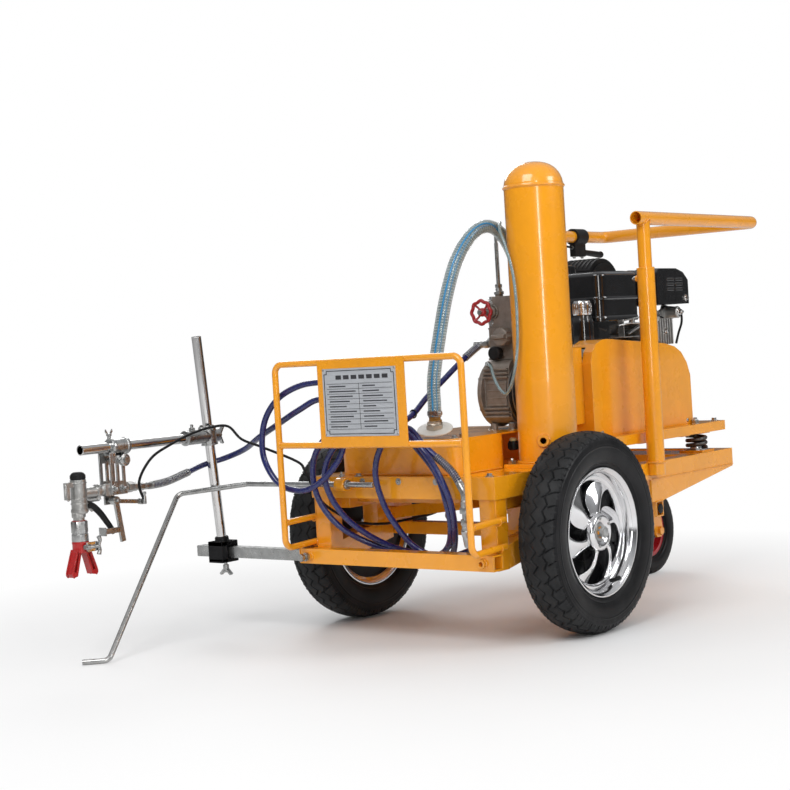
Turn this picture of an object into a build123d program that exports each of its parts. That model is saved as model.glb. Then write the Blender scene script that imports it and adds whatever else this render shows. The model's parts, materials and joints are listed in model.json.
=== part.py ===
from build123d import *
import math
import os

# Walk-behind airless line striping machine on two big front wheels and one rear caster.
# Frame: millimetres, +Z up, origin on the ground under the middle of the main axle.
# The machine travels towards -Y, the operator stands at +Y, +X is the machine's left.

os.makedirs("parts", exist_ok=True)

# ---------------------------------------------------------------- driving dimensions
# A pair ending in 0 and 1 is the low and high limit of a piece along that axis.
SIDES = (-1, 1)          # right, left
FIT = 0.05               # running clearance of every turning fit

WHEEL_R, WHEEL_W = 215.0, 93.0
WHEEL_X = 317.0          # wheel centre plane
RIM_LIP_R, BEAD_R = 138.0, 127.0
SPINDLE_R = 12.5
AXLE_HALF = 14.0         # half side of the square axle tube
AXLE_TOP = WHEEL_R + AXLE_HALF

CASTER_R, CASTER_W = 115.0, 62.0
CASTER_Y = 762.0         # caster wheel centre
CASTER_TRAIL = 40.0
STEM_Y = CASTER_Y - CASTER_TRAIL
STEM_R, CASTER_AXLE_R = 10.0, 8.0
CASTER_BOLTS = [(x, STEM_Y + y) for y in (-46, 46) for x in (-40, 40)]

DECK_X, DECK_FRONT, DECK_BACK = 250.0, -240.0, 235.0
DECK_TOP, SKIRT_LOW = 355.0, 308.0
DECK_T = 4.0
RAIL_X0, RAIL_X1 = 179.0, 219.0
RAIL_Z0, RAIL_Z1 = 281.0, 321.0
RAIL_BACK = 853.0
LEG_X0, LEG_X1 = 205.0, 245.0
LEG_Y0, LEG_Y1 = -235.0, -195.0
LEG_PLAN = (LEG_X0, LEG_X1, LEG_Y0, LEG_Y1)
LEG_LOW = 161.0
TUBE_T = 3.0             # wall of the frame tubes

SLEEVE_X0, SLEEVE_X1 = -268.0, 258.0
SLEEVE_Y0, SLEEVE_Y1 = -270.0, -235.0
SLEEVE_Z0, SLEEVE_Z1 = 165.0, 198.0
LOCK_X = -240.0
BAR_HALF = 12.5          # half side of the square gun bar
BAR_X0, BAR_X1 = -598.0, 182.0
BAR_Y = (SLEEVE_Y0 + SLEEVE_Y1) / 2
BAR_Z = (SLEEVE_Z0 + SLEEVE_Z1) / 2

GUARD_X, GUARD_Y, GUARD_R = 252.0, -333.0, 7.0
GUARD_TOP, GUARD_MID, GUARD_LOW = 608.0, 432.0, 206.0

BASE_X0, BASE_X1 = -195.0, 134.0
BASE_Y0, BASE_Y1 = -205.0, -20.0
BASE_TOP = 432.0
TANK_X, TANK_Y, TANK_R = 201.0, 38.0, 65.0
TANK_Z0, TANK_SEAM, TANK_TOP = 363.0, 960.0, 1015.0
TANK_BOLTS = [(x, y) for y in (-32, 96) for x in (152, 248)]
PORT_AZIMUTH, PORT_R, PORT_Z = 25.75, 7.0, 412.0

POST_X = 229.0
POST_Y_LEFT, POST_Y_RIGHT = 450.0, 620.0   # the right post clears the recoil starter
POST_R, POST_UP_R = 21.0, 16.0
POST_Z0, POST_Z1 = 292.0, 781.0
HANDLE_Z, HANDLE_R = 899.0, 16.0
HANDLE_Y0_LEFT, HANDLE_Y0_RIGHT, HANDLE_Y1 = 418.0, 588.0, 1020.0
HANDLE_T = 2.5           # handle tube wall

PLAT_X, PLAT_Y0, PLAT_Y1 = 198.0, 270.0, 862.0
PLAT_Z0, PLAT_Z1 = 368.0, 392.0
SPRING_X, SPRING_YS = 170.0, (310.0, 758.0)
SEAT_TOP = RAIL_Z1 + 4

PUMP_Y, PUMP_Z = 110.0, 513.0
PUMP_X0, PUMP_X1 = 22.0, 100.0
COVER_T = 10.0
PUMP_FOOT_YS = (PUMP_Y - 48, PUMP_Y + 48)
HEAD_X0, HEAD_X1 = 33.0, 122.0
HEAD_MID, HEAD_TOP = 660.0, 731.0
INLET_X, INLET_Y = 98.0, 110.0             # suction inlet
WHEEL_VALVE_X, WHEEL_VALVE_Z, WHEEL_VALVE_R = 45.0, 697.0, 5.0
PRIME_X, PRIME_Z, PRIME_R = 79.0, 640.0, 6.0

CRANK_Y, CRANK_Z = 560.0, 525.0
FILLER_X, FILLER_Y, FILLER_R = -70.0, 560.0, 18.0
ENG_PULLEY_R, PUMP_PULLEY_R = 42.0, 75.0
BELT_X0, BELT_X1, BELT_PITCH = 105.0, 129.0, 12.0

POLE_X, POLE_Y, POLE_Z = -512.0, -268.0, 207.0
POLE_R, POLE_LEN = 11.0, 476.0
POLE_LEAN = math.radians(5.0)              # forward
CLAMP_X0, CLAMP_X1 = -563.0, -494.0
CLAMP_SCREW_X, CLAMP_SCREW_R = -520.0, 4.0
ARM_Z, ARM_R, ARM_Y0 = 453.0, 11.0, -672.0
GUN_X, GUN_Y = POLE_X, -684.0
BELL_Y, BELL_Z, BELL_PIN_R = -586.0, 337.0, 3.5
TIP_Y, TIP_Z, TIP_R = GUN_Y - 4, 250.0, 6.0
ROD_R, ROD_Y, ROD_Z = 6.0, -262.0, 340.0   # guide rod
HOSE_R, CABLE_R = 6.0, 3.0


# ---------------------------------------------------------------- helpers
def box(x0, x1, y0, y1, z0, z1):
    centre = Pos((x0 + x1) / 2, (y0 + y1) / 2, (z0 + z1) / 2)
    return centre * Box(x1 - x0, y1 - y0, z1 - z0)


def rounded_box(x0, x1, y0, y1, z0, z1, radius):
    outline = RectangleRounded(x1 - x0, y1 - y0, radius)
    return Pos((x0 + x1) / 2, (y0 + y1) / 2, z0) * extrude(outline, z1 - z0)


def rod(start, end, radius, hole=0.0):
    """Round bar between two points, bored through when hole is given."""
    start = Vector(*start)
    along = Vector(*end) - start
    place = Plane(origin=start, z_dir=along) * Pos(0, 0, along.length / 2)
    bar = place * Cylinder(radius, along.length)
    if hole:
        bar -= place * Cylinder(hole, along.length + 2)
    return bar


def rod_x(x0, x1, y, z, radius, hole=0.0):
    return rod((x0, y, z), (x1, y, z), radius, hole)


def rod_y(x, y0, y1, z, radius, hole=0.0):
    return rod((x, y0, z), (x, y1, z), radius, hole)


def rod_z(x, y, z0, z1, radius, hole=0.0):
    return rod((x, y, z0), (x, y, z1), radius, hole)


def hex_bar(start, end, across):
    start = Vector(*start)
    along = Vector(*end) - start
    hexagon = RegularPolygon(across / 2, 6, major_radius=False)
    return extrude(Plane(origin=start, z_dir=along) * hexagon, along.length)


def beam(start, end, width, height, up=(0, 0, 1)):
    """Rectangular bar between two points, its height lying along up."""
    start = Vector(*start)
    along = Vector(*end) - start
    across = along.cross(Vector(*up)).normalized()
    place = Plane(origin=start, x_dir=across, z_dir=along)
    return extrude(place * Rectangle(width, height), along.length)


def spun(profile, axis="X", at=(0, 0, 0)):
    """Solid of revolution about X or Z; profile points are (along, radius)."""
    if axis == "Z":
        profile = [(radius, along) for along, radius in profile]
    face = Plane.XZ * make_face(Polyline(*profile, close=True))
    return Pos(*at) * revolve(face, Axis.Z if axis == "Z" else Axis.X, 360)


def swept(points, radius, bend, hole=0.0):
    path = FilletPolyline(*points, radius=bend)
    section = Circle(radius) - Circle(hole) if hole else Circle(radius)
    return sweep(Plane(origin=path @ 0, z_dir=path % 0) * section, path=path)


def plate_yz(points, x0, x1):
    """Plate between x0 and x1 with an outline of (y, z) points."""
    return extrude(Plane.YZ.offset(x0) * make_face(Polyline(*points, close=True)), x1 - x0)


def smooth(points, steps):
    """Catmull-Rom points through the given ones."""
    knots = [Vector(*q) for q in points]
    last = len(knots) - 1
    out = []
    for i in range(last):
        before, here = knots[max(i - 1, 0)], knots[i]
        ahead, beyond = knots[i + 1], knots[min(i + 2, last)]
        for k in range(steps):
            t = k / steps
            out.append(
                here * (2 * t**3 - 3 * t**2 + 1)
                + (ahead - before) * 0.5 * (t**3 - 2 * t**2 + t)
                + ahead * (-2 * t**3 + 3 * t**2)
                + (beyond - here) * 0.5 * (t**3 - t**2)
            )
    out.append(knots[-1])
    return out


def hose(points, radius, sides=6, steps=2):
    """Hose as a closed chain of flat-sided lengths, mitred at every bend."""
    path = smooth(points, steps) if steps > 1 else [Vector(*q) for q in points]
    dirs = [(b - a).normalized() for a, b in zip(path, path[1:])]
    helper = Vector(0, 0, 1) if abs(dirs[0].Z) < 0.9 else Vector(1, 0, 0)
    across = dirs[0].cross(helper).normalized()
    other = dirs[0].cross(across).normalized()
    angles = [2 * math.pi * k / sides for k in range(sides)]
    rings = [[
        path[0] + across * (radius * math.cos(a)) + other * (radius * math.sin(a)) for a in angles
    ]]
    for i in range(1, len(path)):
        along = dirs[i - 1]
        normal = along if i == len(path) - 1 else (along + dirs[i]).normalized()
        rings.append([
            q + along * (((path[i] - q).dot(normal)) / along.dot(normal)) for q in rings[-1]
        ])
    faces = [Face(Wire.make_polygon(ring, close=True)) for ring in (rings[0], rings[-1])]
    for a, b in zip(rings, rings[1:]):
        for k in range(sides):
            j = (k + 1) % sides
            faces.append(Face(Wire.make_polygon([a[k], a[j], b[j], b[k]], close=True)))
    solid = Solid(Shell(faces))
    return solid if solid.volume > 0 else Solid(solid.wrapped.Reversed())


def mirror_x(shape):
    return mirror(shape, about=Plane.YZ)


def largest(shape):
    return max(shape.solids(), key=lambda s: s.volume)


def save(name, *items):
    flat = [solid for item in items for solid in item.solids()]
    shape = Compound(children=flat) if len(flat) > 1 else flat[0]
    shape.label = name
    export_step(shape, f"parts/{name}.step")


# ---------------------------------------------------------------- chassis
def frame_half():
    """Left rail with its rear gusset, front leg, sloping brace and axle hanger."""
    t = TUBE_T
    rail = box(RAIL_X0, RAIL_X1, LEG_Y1, RAIL_BACK, RAIL_Z0, RAIL_Z1)
    rail -= box(RAIL_X0 + t, RAIL_X1 - t, LEG_Y1 + t, RAIL_BACK + 1, RAIL_Z0 + t, RAIL_Z1 - t)
    gusset = plate_yz([(440, 281), (440, 227), (495, 227), (852, 276), (852, 281)], 213, 219)
    leg = box(*LEG_PLAN, LEG_LOW, DECK_TOP - DECK_T)
    leg -= box(LEG_X0 + t, LEG_X1 - t, LEG_Y0 + t, LEG_Y1 - t, LEG_LOW + t, DECK_TOP)
    brace = beam((225, LEG_Y1 - 2, 186), (225, -17, 217), 40, 48)
    brace -= box(100, 300, -16, 40, 150, 260)
    brace -= box(*LEG_PLAN, 100, 300)
    brace -= box(100, 300, -200, 40, AXLE_TOP, 300)
    hanger = box(180, 220, -100, 26, AXLE_TOP, RAIL_Z0)
    hanger -= box(184, 216, -96, 22, 220, RAIL_Z0 + 1)
    return rail + gusset + leg + brace + hanger


def chassis_frame():
    half = frame_half()
    frame = half + mirror_x(half)
    frame -= rod_z(POST_X, POST_Y_LEFT, POST_Z0 - 1, POST_Z1, POST_R)
    frame -= rod_z(-POST_X, POST_Y_RIGHT, POST_Z0 - 1, POST_Z1, POST_R)
    for y in (-150, 60, 200):                            # cross members and deck spacers
        frame += box(-RAIL_X0, RAIL_X0, y - 15, y + 15, RAIL_Z1 - 30, RAIL_Z1)
        for side in SIDES:
            x = side * (RAIL_X0 + RAIL_X1) / 2
            frame += box(x - 15, x + 15, y - 15, y + 15, RAIL_Z1, DECK_TOP - DECK_T)
    frame += beam((-182, -38, 252), (150, -170, 296), 26, 26)   # diagonal under the deck
    # rear cross tube with open ends, and its tabs to the gussets
    frame += box(-219, 219, 457, 490, 190, 227) - box(-220, 220, 460, 487, 193, 224)
    for side in SIDES:
        frame += box(side * 216 - 3, side * 216 + 3, 457, 490, 226, 232)
    bridge = box(-RAIL_X0, RAIL_X0, STEM_Y - 58, STEM_Y + 58, RAIL_Z0, RAIL_Z1)
    bridge -= box(-RAIL_X0 - 1, RAIL_X0 + 1, STEM_Y - 54, STEM_Y + 54, RAIL_Z0 - 1, RAIL_Z1 - 4)
    frame += bridge
    frame += box(-RAIL_X0, RAIL_X0, RAIL_BACK - 18, RAIL_BACK, RAIL_Z0, RAIL_Z1)
    for y in SPRING_YS:                                  # spring seats on the rails
        for side in SIDES:
            x = side * SPRING_X
            frame += box(x - 32, x + 32, y - 32, y + 32, RAIL_Z1, SEAT_TOP)
    return frame


def deck_plate(frame):
    """Deck with a folded skirt and the boss that holds the guide rod."""
    t = DECK_T
    deck = box(-DECK_X, DECK_X, DECK_FRONT, DECK_BACK, SKIRT_LOW, DECK_TOP)
    deck -= box(-DECK_X + t, DECK_X - t, DECK_FRONT + t, DECK_BACK + 1, SKIRT_LOW - 1, DECK_TOP - t)
    boss = rod_x(-152, -128, ROD_Y, ROD_Z, 15) + box(-152, -128, -256, DECK_FRONT, 326, 353)
    deck = deck + boss - rod_x(-160, -120, ROD_Y, ROD_Z, ROD_R + FIT)
    return largest(deck - frame)


def front_sleeve():
    bore = BAR_HALF + 0.5
    sleeve = box(SLEEVE_X0, SLEEVE_X1, SLEEVE_Y0, SLEEVE_Y1, SLEEVE_Z0, SLEEVE_Z1)
    sleeve -= box(
        SLEEVE_X0 - 1, SLEEVE_X1 + 1, BAR_Y - bore, BAR_Y + bore, BAR_Z - bore, BAR_Z + bore
    )
    for x in (LOCK_X, 232.0):
        sleeve += rod_y(x, SLEEVE_Y0 - 9, SLEEVE_Y0, BAR_Z, 9)
        sleeve -= rod_y(x, SLEEVE_Y0 - 20, BAR_Y - BAR_HALF, BAR_Z, 5)
    return sleeve


def sleeve_lock_bolt():
    bolt = rod_y(LOCK_X, BAR_Y - BAR_HALF - 0.3, SLEEVE_Y0 - 34, BAR_Z, 4.9)
    for near, far, across in ((9.2, 17, 17), (24, 32, 15)):
        bolt += hex_bar((LOCK_X, SLEEVE_Y0 - near, BAR_Z), (LOCK_X, SLEEVE_Y0 - far, BAR_Z), across)
    return bolt


def front_guard():
    """Guard of round bar with its plate carrier."""
    foot_y = LEG_Y0 + 20
    x, y = GUARD_X, GUARD_Y
    guard = swept(
        [(-x, foot_y, GUARD_LOW + 5), (-x, y, GUARD_LOW), (-x, y, GUARD_TOP),
         (x, y, GUARD_TOP), (x, y, GUARD_LOW), (x, foot_y, GUARD_LOW + 5)],
        GUARD_R, 20,
    )
    for side in SIDES:
        guard += rod((side * x, y, 262), (side * x, foot_y, 266), GUARD_R)
    guard += rod_x(-x, x, y, GUARD_MID, GUARD_R)
    carrier = box(-122, 114, y - 9, y - 7, GUARD_MID - 4, GUARD_TOP + 4)
    for z in (GUARD_TOP, GUARD_MID):
        carrier += box(-122, 114, y - 9, y, z - 4, z + 4)
    guard += carrier
    leg = box(*LEG_PLAN, LEG_LOW, DECK_TOP)
    return guard - leg - mirror_x(leg)


def nameplate():
    return box(-107, 92, GUARD_Y - 10.2, GUARD_Y - 9, 451, 594)


def main_axle():
    """Square tube with welded spindles."""
    outer, inner = AXLE_HALF, AXLE_HALF - 3
    axle = box(-262, 262, -outer, outer, WHEEL_R - outer, AXLE_TOP)
    axle -= box(-250, 250, -inner, inner, WHEEL_R - inner, WHEEL_R + inner)
    for side in SIDES:
        axle += rod_x(side * 262, side * 278, 0, WHEEL_R, 17)
        axle += rod_x(side * 262, side * 350, 0, WHEEL_R, SPINDLE_R)
    return axle


def chassis_fasteners(tank):
    """Spindle nuts, then tank, caster mount and pump base bolt heads."""
    heads = []
    for side in SIDES:
        nut = hex_bar((side * 345, 0, WHEEL_R), (side * 358, 0, WHEEL_R), 24)
        heads.append(nut - rod_x(side * 340, side * 351, 0, WHEEL_R, SPINDLE_R))
    for x, y in TANK_BOLTS:
        heads.append(hex_bar((x, y, TANK_Z0), (x, y, TANK_Z0 + 7), 16) - tank)
    for x, y in CASTER_BOLTS:
        heads.append(hex_bar((x, y, 267), (x, y, 274), 15))
    for x, y in ((104, -140), (-150, -150)):
        heads.append(hex_bar((x, y, BASE_TOP), (x, y, BASE_TOP + 8), 15))
    return heads


# ---------------------------------------------------------------- pump base and tank
def pump_base():
    """Folded box with a rear shelf."""
    base = rounded_box(BASE_X0, BASE_X1, BASE_Y0, BASE_Y1, DECK_TOP, BASE_TOP, 28)
    base -= rounded_box(
        BASE_X0 + 3, BASE_X1 - 3, BASE_Y0 + 3, BASE_Y1 - 3, DECK_TOP - 1, BASE_TOP - 3, 25
    )
    shelf_x0, shelf_x1, shelf_back = BASE_X0 + 60, BASE_X1 - 4, 192
    base += box(shelf_x0, shelf_x1, BASE_Y1 - 40, shelf_back, BASE_TOP - 4, BASE_TOP)
    base += box(shelf_x0, shelf_x1, shelf_back - 4, shelf_back, DECK_TOP, BASE_TOP)
    for x in (35, 95):
        for y in PUMP_FOOT_YS:
            base -= rod_z(x, y, 400, 450, 4.5)
    return base


def port_point(reach):
    """Point on the tank port's axis at a distance from the tank's axis."""
    azimuth = math.radians(PORT_AZIMUTH)
    return (TANK_X + math.sin(azimuth) * reach, TANK_Y - math.cos(azimuth) * reach, PORT_Z)


def accumulator_tank(base):
    at = (TANK_X, TANK_Y, 0)
    dome = TANK_TOP - TANK_SEAM
    outer_angles = (0.15, 0.3, 0.45, 0.6, 0.75, 0.9, 1.05, 1.2, 1.32, 1.42, 1.5)
    outer = [(TANK_Z0, 0), (TANK_Z0, TANK_R), (TANK_SEAM, TANK_R)]
    outer += [(TANK_SEAM + dome * math.sin(a), TANK_R * math.cos(a) ** 0.8) for a in outer_angles]
    outer += [(TANK_TOP, 0)]
    bore_r, bore_dome = TANK_R - 5, dome - 5
    inner = [(TANK_Z0 + 6, 0), (TANK_Z0 + 6, bore_r), (TANK_SEAM, bore_r)]
    inner += [
        (TANK_SEAM + bore_dome * math.sin(a), bore_r * math.cos(a))
        for a in (0.25, 0.5, 0.75, 1.0, 1.25, 1.42)
    ]
    inner += [(TANK_TOP - 5, 0)]

    tank = spun(outer, "Z", at)
    tank += rod(port_point(TANK_R - 8), port_point(TANK_R + 6), 13)
    tank -= spun(inner, "Z", at)
    tank -= rod(port_point(TANK_R - 12), port_point(TANK_R + 8), PORT_R)
    # weld bead round the seam: (above the seam, beyond the tank radius)
    bead = ((-3, -1), (-3, 0.8), (1, 1.8), (5, 0.8), (5, -2))
    tank += spun([(TANK_SEAM + z, TANK_R + r) for z, r in bead], "Z", at)
    foot = box(138, 262, -44, 108, DECK_TOP, TANK_Z0)
    for x, y in TANK_BOLTS:
        foot -= rod_z(x, y, 340, 380, 5.5)
    tank += foot
    return largest(tank - base)


# ---------------------------------------------------------------- pump
def pump_housing():
    """Finned housing on four feet."""
    x0, x1, y = PUMP_X0 + COVER_T, PUMP_X1, PUMP_Y
    housing = box(x0, x1, y - 60, y + 60, 446, 588)
    housing = fillet(housing.edges().filter_by(Axis.X), 22)
    for z in (460, 469, 478, 548, 557, 566):
        housing += box(x0, x1 - 2, y - 67, y + 67, z, z + 4)
    housing += box(x0 + 8, x1 - 8, y - 64, y + 64, 486, 540)
    housing += box(x0 + 6, x1 - 6, y - 32, y + 32, 586, 592)
    housing -= rod_x(88, 101, y, PUMP_Z, 12 + FIT)
    for x in (43, 92):
        for foot_y in PUMP_FOOT_YS:
            housing += rod_z(x, foot_y, BASE_TOP, 446, 8)
    return housing


def pump_cover():
    """Round end cover with six bolt heads."""
    cover = rod_x(PUMP_X0, PUMP_X0 + COVER_T, PUMP_Y, PUMP_Z, 77)
    for angle in range(30, 390, 60):
        y = PUMP_Y + 66 * math.cos(math.radians(angle))
        z = PUMP_Z + 66 * math.sin(math.radians(angle))
        cover += hex_bar((PUMP_X0 - 6, y, z), (PUMP_X0, y, z), 11)
    return cover


def pump_head():
    lower = box(HEAD_X0, HEAD_X1, 76, 146, 592, HEAD_MID)
    upper = box(HEAD_X0, HEAD_X1, 78, 142, HEAD_MID, HEAD_TOP)
    corner = make_face(Polyline((30, 712), (30, 735), (52, 735), close=True))
    upper -= Plane.XZ.offset(-150) * extrude(corner, 90)
    head = lower + upper
    head += rod_z(50, 100, HEAD_TOP, 740, 9)
    head += rod_z(INLET_X, INLET_Y, HEAD_TOP, 757, 15)              # suction inlet spigot
    head += rod((HEAD_X0, 92, 630), (14, 84, 626), 8)               # outlet union
    head -= rod_y(WHEEL_VALVE_X, 60, 92, WHEEL_VALVE_Z, WHEEL_VALVE_R + FIT)
    head -= rod_y(PRIME_X, 60, 90, PRIME_Z, PRIME_R + FIT)
    head += rod_y(60, 60, 76, 604, 14)                              # capped outlet valve
    return head


def pressure_handwheel():
    x, z = WHEEL_VALVE_X, WHEEL_VALVE_Z
    wheel = rod_y(x, 30, 78, z, WHEEL_VALVE_R)
    rim = Pos(x, 34, z) * Rot(90, 0, 0) * Torus(25, 4.5)
    wheel += rim + rod_y(x, 28, 42, z, 8)
    for k in range(4):                                              # spokes
        angle = math.radians(45 * k + 22)
        dx, dz = 24 * math.cos(angle), 24 * math.sin(angle)
        wheel += rod((x - dx, 35, z - dz), (x + dx, 35, z + dz), 3)
    return wheel


def prime_knob():
    x, z = PRIME_X, PRIME_Z
    knob = rod_y(x, 50, 74, z, 20) + box(x - 18, x + 18, 40, 51, z - 5, z + 5)
    return knob + rod_y(x, 70, 90, z, PRIME_R)


# Centre lines of the pump's hoses: (x, y, z)
SUCTION_PATH = [
    (37.5, -149, 475.5), (37, -147, 500), (36, -142, 560), (50, -128, 660), (62, -112, 740),
    (74, -86, 812), (88, -46, 865), (98, 0, 884), (103, 45, 868), (101, 88, 825),
    (INLET_X, INLET_Y, 780), (INLET_X, INLET_Y, 758),
]
BLEED_PATH = [
    (62, 92, 858), (80, 20, 806), (120, -32, 750), (138, -44, 690), (142, -46, 620),
    (135, -40, 555), (112, -10, 518), (98, 10, 508), (80, 22, 520), (64, 30, 543), (52, 36, 562),
]


def suction_hose():
    """Hose from the strainer, cut off just above the inlet spigot."""
    return largest(hose(SUCTION_PATH, 14.5, sides=12, steps=3) - box(70, 126, 80, 140, 700, 757.1))


def suction_strainer():
    tilt = Plane(origin=(37, -150, 449.5), z_dir=(0.16, -0.30, 0.94))
    strainer = tilt * Cylinder(39, 5)
    strainer += tilt * Pos(0, 0, 7) * Cylinder(17, 9)
    strainer += rod((37.5, -150, 450), (37.5, -149, 473.8), 12)
    return strainer - box(-60, 140, -260, -60, 400, BASE_TOP)


def hose_support_rod():
    return rod_z(50, 100, 740, 852, 4.5) + rod_z(50, 100, 740, 748, 7)


# ---------------------------------------------------------------- wheels
def symmetric(half):
    """Half a profile ending on the centre plane, completed by its mirror image."""
    return half + [(-a, r) for a, r in half[-2::-1]]


def tyre(x, y, radius, width, bead, lip_half):
    """Hollow tyre standing on the ground."""
    depth = radius - bead
    # side wall and tread: (share of the width, share of the depth)
    wall = ((0.45, 0.27), (0.5, 0.5), (0.49, 0.72), (0.43, 0.87), (0.29, 0.955), (0, 1))
    inner_wall = ((0.36, 0.35), (0.40, 0.52), (0.38, 0.68), (0.30, 0.79), (0, 0.84))
    outer = [(-lip_half + 0.2, bead), (-lip_half + 0.2, bead + 0.13 * depth)]
    outer += [(-a * width, bead + b * depth) for a, b in wall]
    inner = [(-lip_half + 8, bead - 1), (-lip_half + 8, bead + 0.16 * depth)]
    inner += [(-a * width, bead + b * depth) for a, b in inner_wall]
    at = (x, y, radius)
    return spun(symmetric(outer), "X", at) - spun(symmetric(inner), "X", at)


def main_rim(side):
    """Slotted rim and hub, followed by its two bearings."""
    lip = 36.0
    rim = spun([
        (-lip, 119), (-lip, RIM_LIP_R), (-lip + 4, RIM_LIP_R), (-lip + 4, BEAD_R),
        (lip - 4, BEAD_R), (lip - 4, RIM_LIP_R), (lip, RIM_LIP_R), (lip, 122),
        (lip - 10, 119), (-lip + 10, 119),
    ])
    disc = spun([(14, 24), (26, 24), (22, 70), (20, 121), (10, 121), (10, 70)])
    slots = 7
    slot = Plane.YZ * (Pos(84, 0) * Rot(0, 0, 40) * SlotOverall(62, 26))
    for i in range(slots):
        disc -= Rot(360.0 / slots * i, 0, 0) * extrude(slot, 40)
    hub = spun([(-34, 16), (-34, 26), (-10, 30), (12, 32), (27, 30), (27, 16)])
    wheel = rim + disc + hub
    if side < 0:
        wheel = mirror_x(wheel)
    wheel = Pos(side * WHEEL_X, 0, WHEEL_R) * wheel
    bearings = []
    for inset in (-34, 17):
        x0, x1 = side * (WHEEL_X + inset), side * (WHEEL_X + inset + 10)
        bearings.append(rod_x(x0, x1, 0, WHEEL_R, 24, SPINDLE_R + FIT))
        wheel -= rod_x(x0, x1, 0, WHEEL_R, 24)
    return [wheel, *bearings]


def caster_mount():
    mount = box(-50, 50, STEM_Y - 56, STEM_Y + 56, 274, RAIL_Z0)
    mount += rod_z(0, STEM_Y, 262, 275, 34)
    mount -= rod_z(0, STEM_Y, 255, 290, STEM_R + FIT)
    for x, y in CASTER_BOLTS:
        mount -= rod_z(x, y, 260, 290, 5)
    return mount


def caster_fork():
    """Fork with its stem, wheel axle and axle nuts."""
    front, back = STEM_Y - 30, STEM_Y + 34
    fork = rod_z(0, STEM_Y, 252, 261.9, 34) + rod_z(0, STEM_Y, 261, 290, STEM_R)
    fork += box(-46, 46, front, back, 244, 252)
    cheek = plate_yz(
        [(front, 252), (back, 252), (CASTER_Y + 20, 112), (CASTER_Y + 10, 99),
         (CASTER_Y - 10, 99), (CASTER_Y - 20, 112)],
        40, 46,
    )
    fork += cheek + mirror_x(cheek)
    fork += rod_x(-46, 46, CASTER_Y, CASTER_R, CASTER_AXLE_R)
    for side in SIDES:
        fork += hex_bar((side * 46, CASTER_Y, CASTER_R), (side * 55, CASTER_Y, CASTER_R), 19)
    return fork


def caster_rim():
    bore = CASTER_AXLE_R + FIT
    profile = [
        (-20, 58), (-20, 68), (-17, 68), (-17, 62), (17, 62), (17, 68), (20, 68), (20, 58),
        (4, 56), (4, 24), (30, 20), (30, bore), (-30, bore), (-30, 20), (-4, 24), (-4, 56),
    ]
    return spun(profile, "X", (0, CASTER_Y, CASTER_R))


# ---------------------------------------------------------------- handle
def handle_post(side, y):
    return rod_z(side * POST_X, y, POST_Z0, POST_Z1, POST_R, POST_UP_R + FIT)


def handle_half(front_y, post_y):
    """Left half: top tube to the centre line, and the upright that slides in the post."""
    top = swept(
        [(POST_X, front_y, HANDLE_Z), (POST_X, HANDLE_Y1, HANDLE_Z), (0, HANDLE_Y1, HANDLE_Z)],
        HANDLE_R, 22, HANDLE_R - HANDLE_T,
    )
    upright = rod_z(POST_X, post_y, 520, HANDLE_Z - 8, POST_UP_R, POST_UP_R - HANDLE_T)
    upright -= rod_y(POST_X, post_y - 30, post_y + 30, HANDLE_Z, HANDLE_R)
    return top + upright


def handle_frame():
    left = handle_half(HANDLE_Y0_LEFT, POST_Y_LEFT)
    return left + mirror_x(handle_half(HANDLE_Y0_RIGHT, POST_Y_RIGHT))


LEVER_X, LEVER_Y, LEVER_Z, LEVER_PIN_R = -POST_X, 884.0, 860.0, 3.0


def lever_bracket():
    x, y0, y1 = LEVER_X, 856, 908
    bracket = rod_y(x, y0, y1, HANDLE_Z, HANDLE_R + 6) + box(x - 9, x + 9, y0, y1, 846, 885)
    bracket -= rod_y(x, y0 - 1, y1 + 1, HANDLE_Z, HANDLE_R)
    bracket -= box(x - 5.2, x + 5.2, y0 + 14, y1 + 1, 840, 872)
    return bracket - rod_x(x - 20, x + 20, LEVER_Y, LEVER_Z, LEVER_PIN_R + FIT)


def hand_lever():
    x, y, z = LEVER_X, LEVER_Y, LEVER_Z
    lever = box(x - 5, x + 5, y - 8, y + 8, z - 8, z + 8) + beam((x, y, z), (x, 996, 852), 10, 12)
    return lever + rod_x(x - 9, x + 9, y, z, LEVER_PIN_R)


# ---------------------------------------------------------------- engine and its platform
def engine_platform():
    plat = box(-PLAT_X, PLAT_X, PLAT_Y0, PLAT_Y1, PLAT_Z0, PLAT_Z1)
    plat -= box(-PLAT_X + 3, PLAT_X - 3, PLAT_Y0 + 3, PLAT_Y1 - 3, PLAT_Z0 - 1, PLAT_Z1 - 4)
    # cross members: (y, half width)
    for y, half in ((SPRING_YS[0], 24), (SPRING_YS[1], 24), (460, 20), (660, 20)):
        plat += box(-PLAT_X + 2, PLAT_X - 2, y - half, y + half, PLAT_Z0 - 2, PLAT_Z1 - 2)
    return plat


def spring(x, y):
    coil_r, wire_r, turns, count = 23, 5, 2.5, 40
    z0, z1 = SEAT_TOP + wire_r + 0.2, PLAT_Z0 - 2 - wire_r - 0.2
    points = []
    for i in range(count + 1):
        angle = 2 * math.pi * turns * i / count
        z = z0 + (z1 - z0) * i / count
        points.append((x + coil_r * math.cos(angle), y + coil_r * math.sin(angle), z))
    return hose(points, wire_r, sides=8, steps=1)


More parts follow.
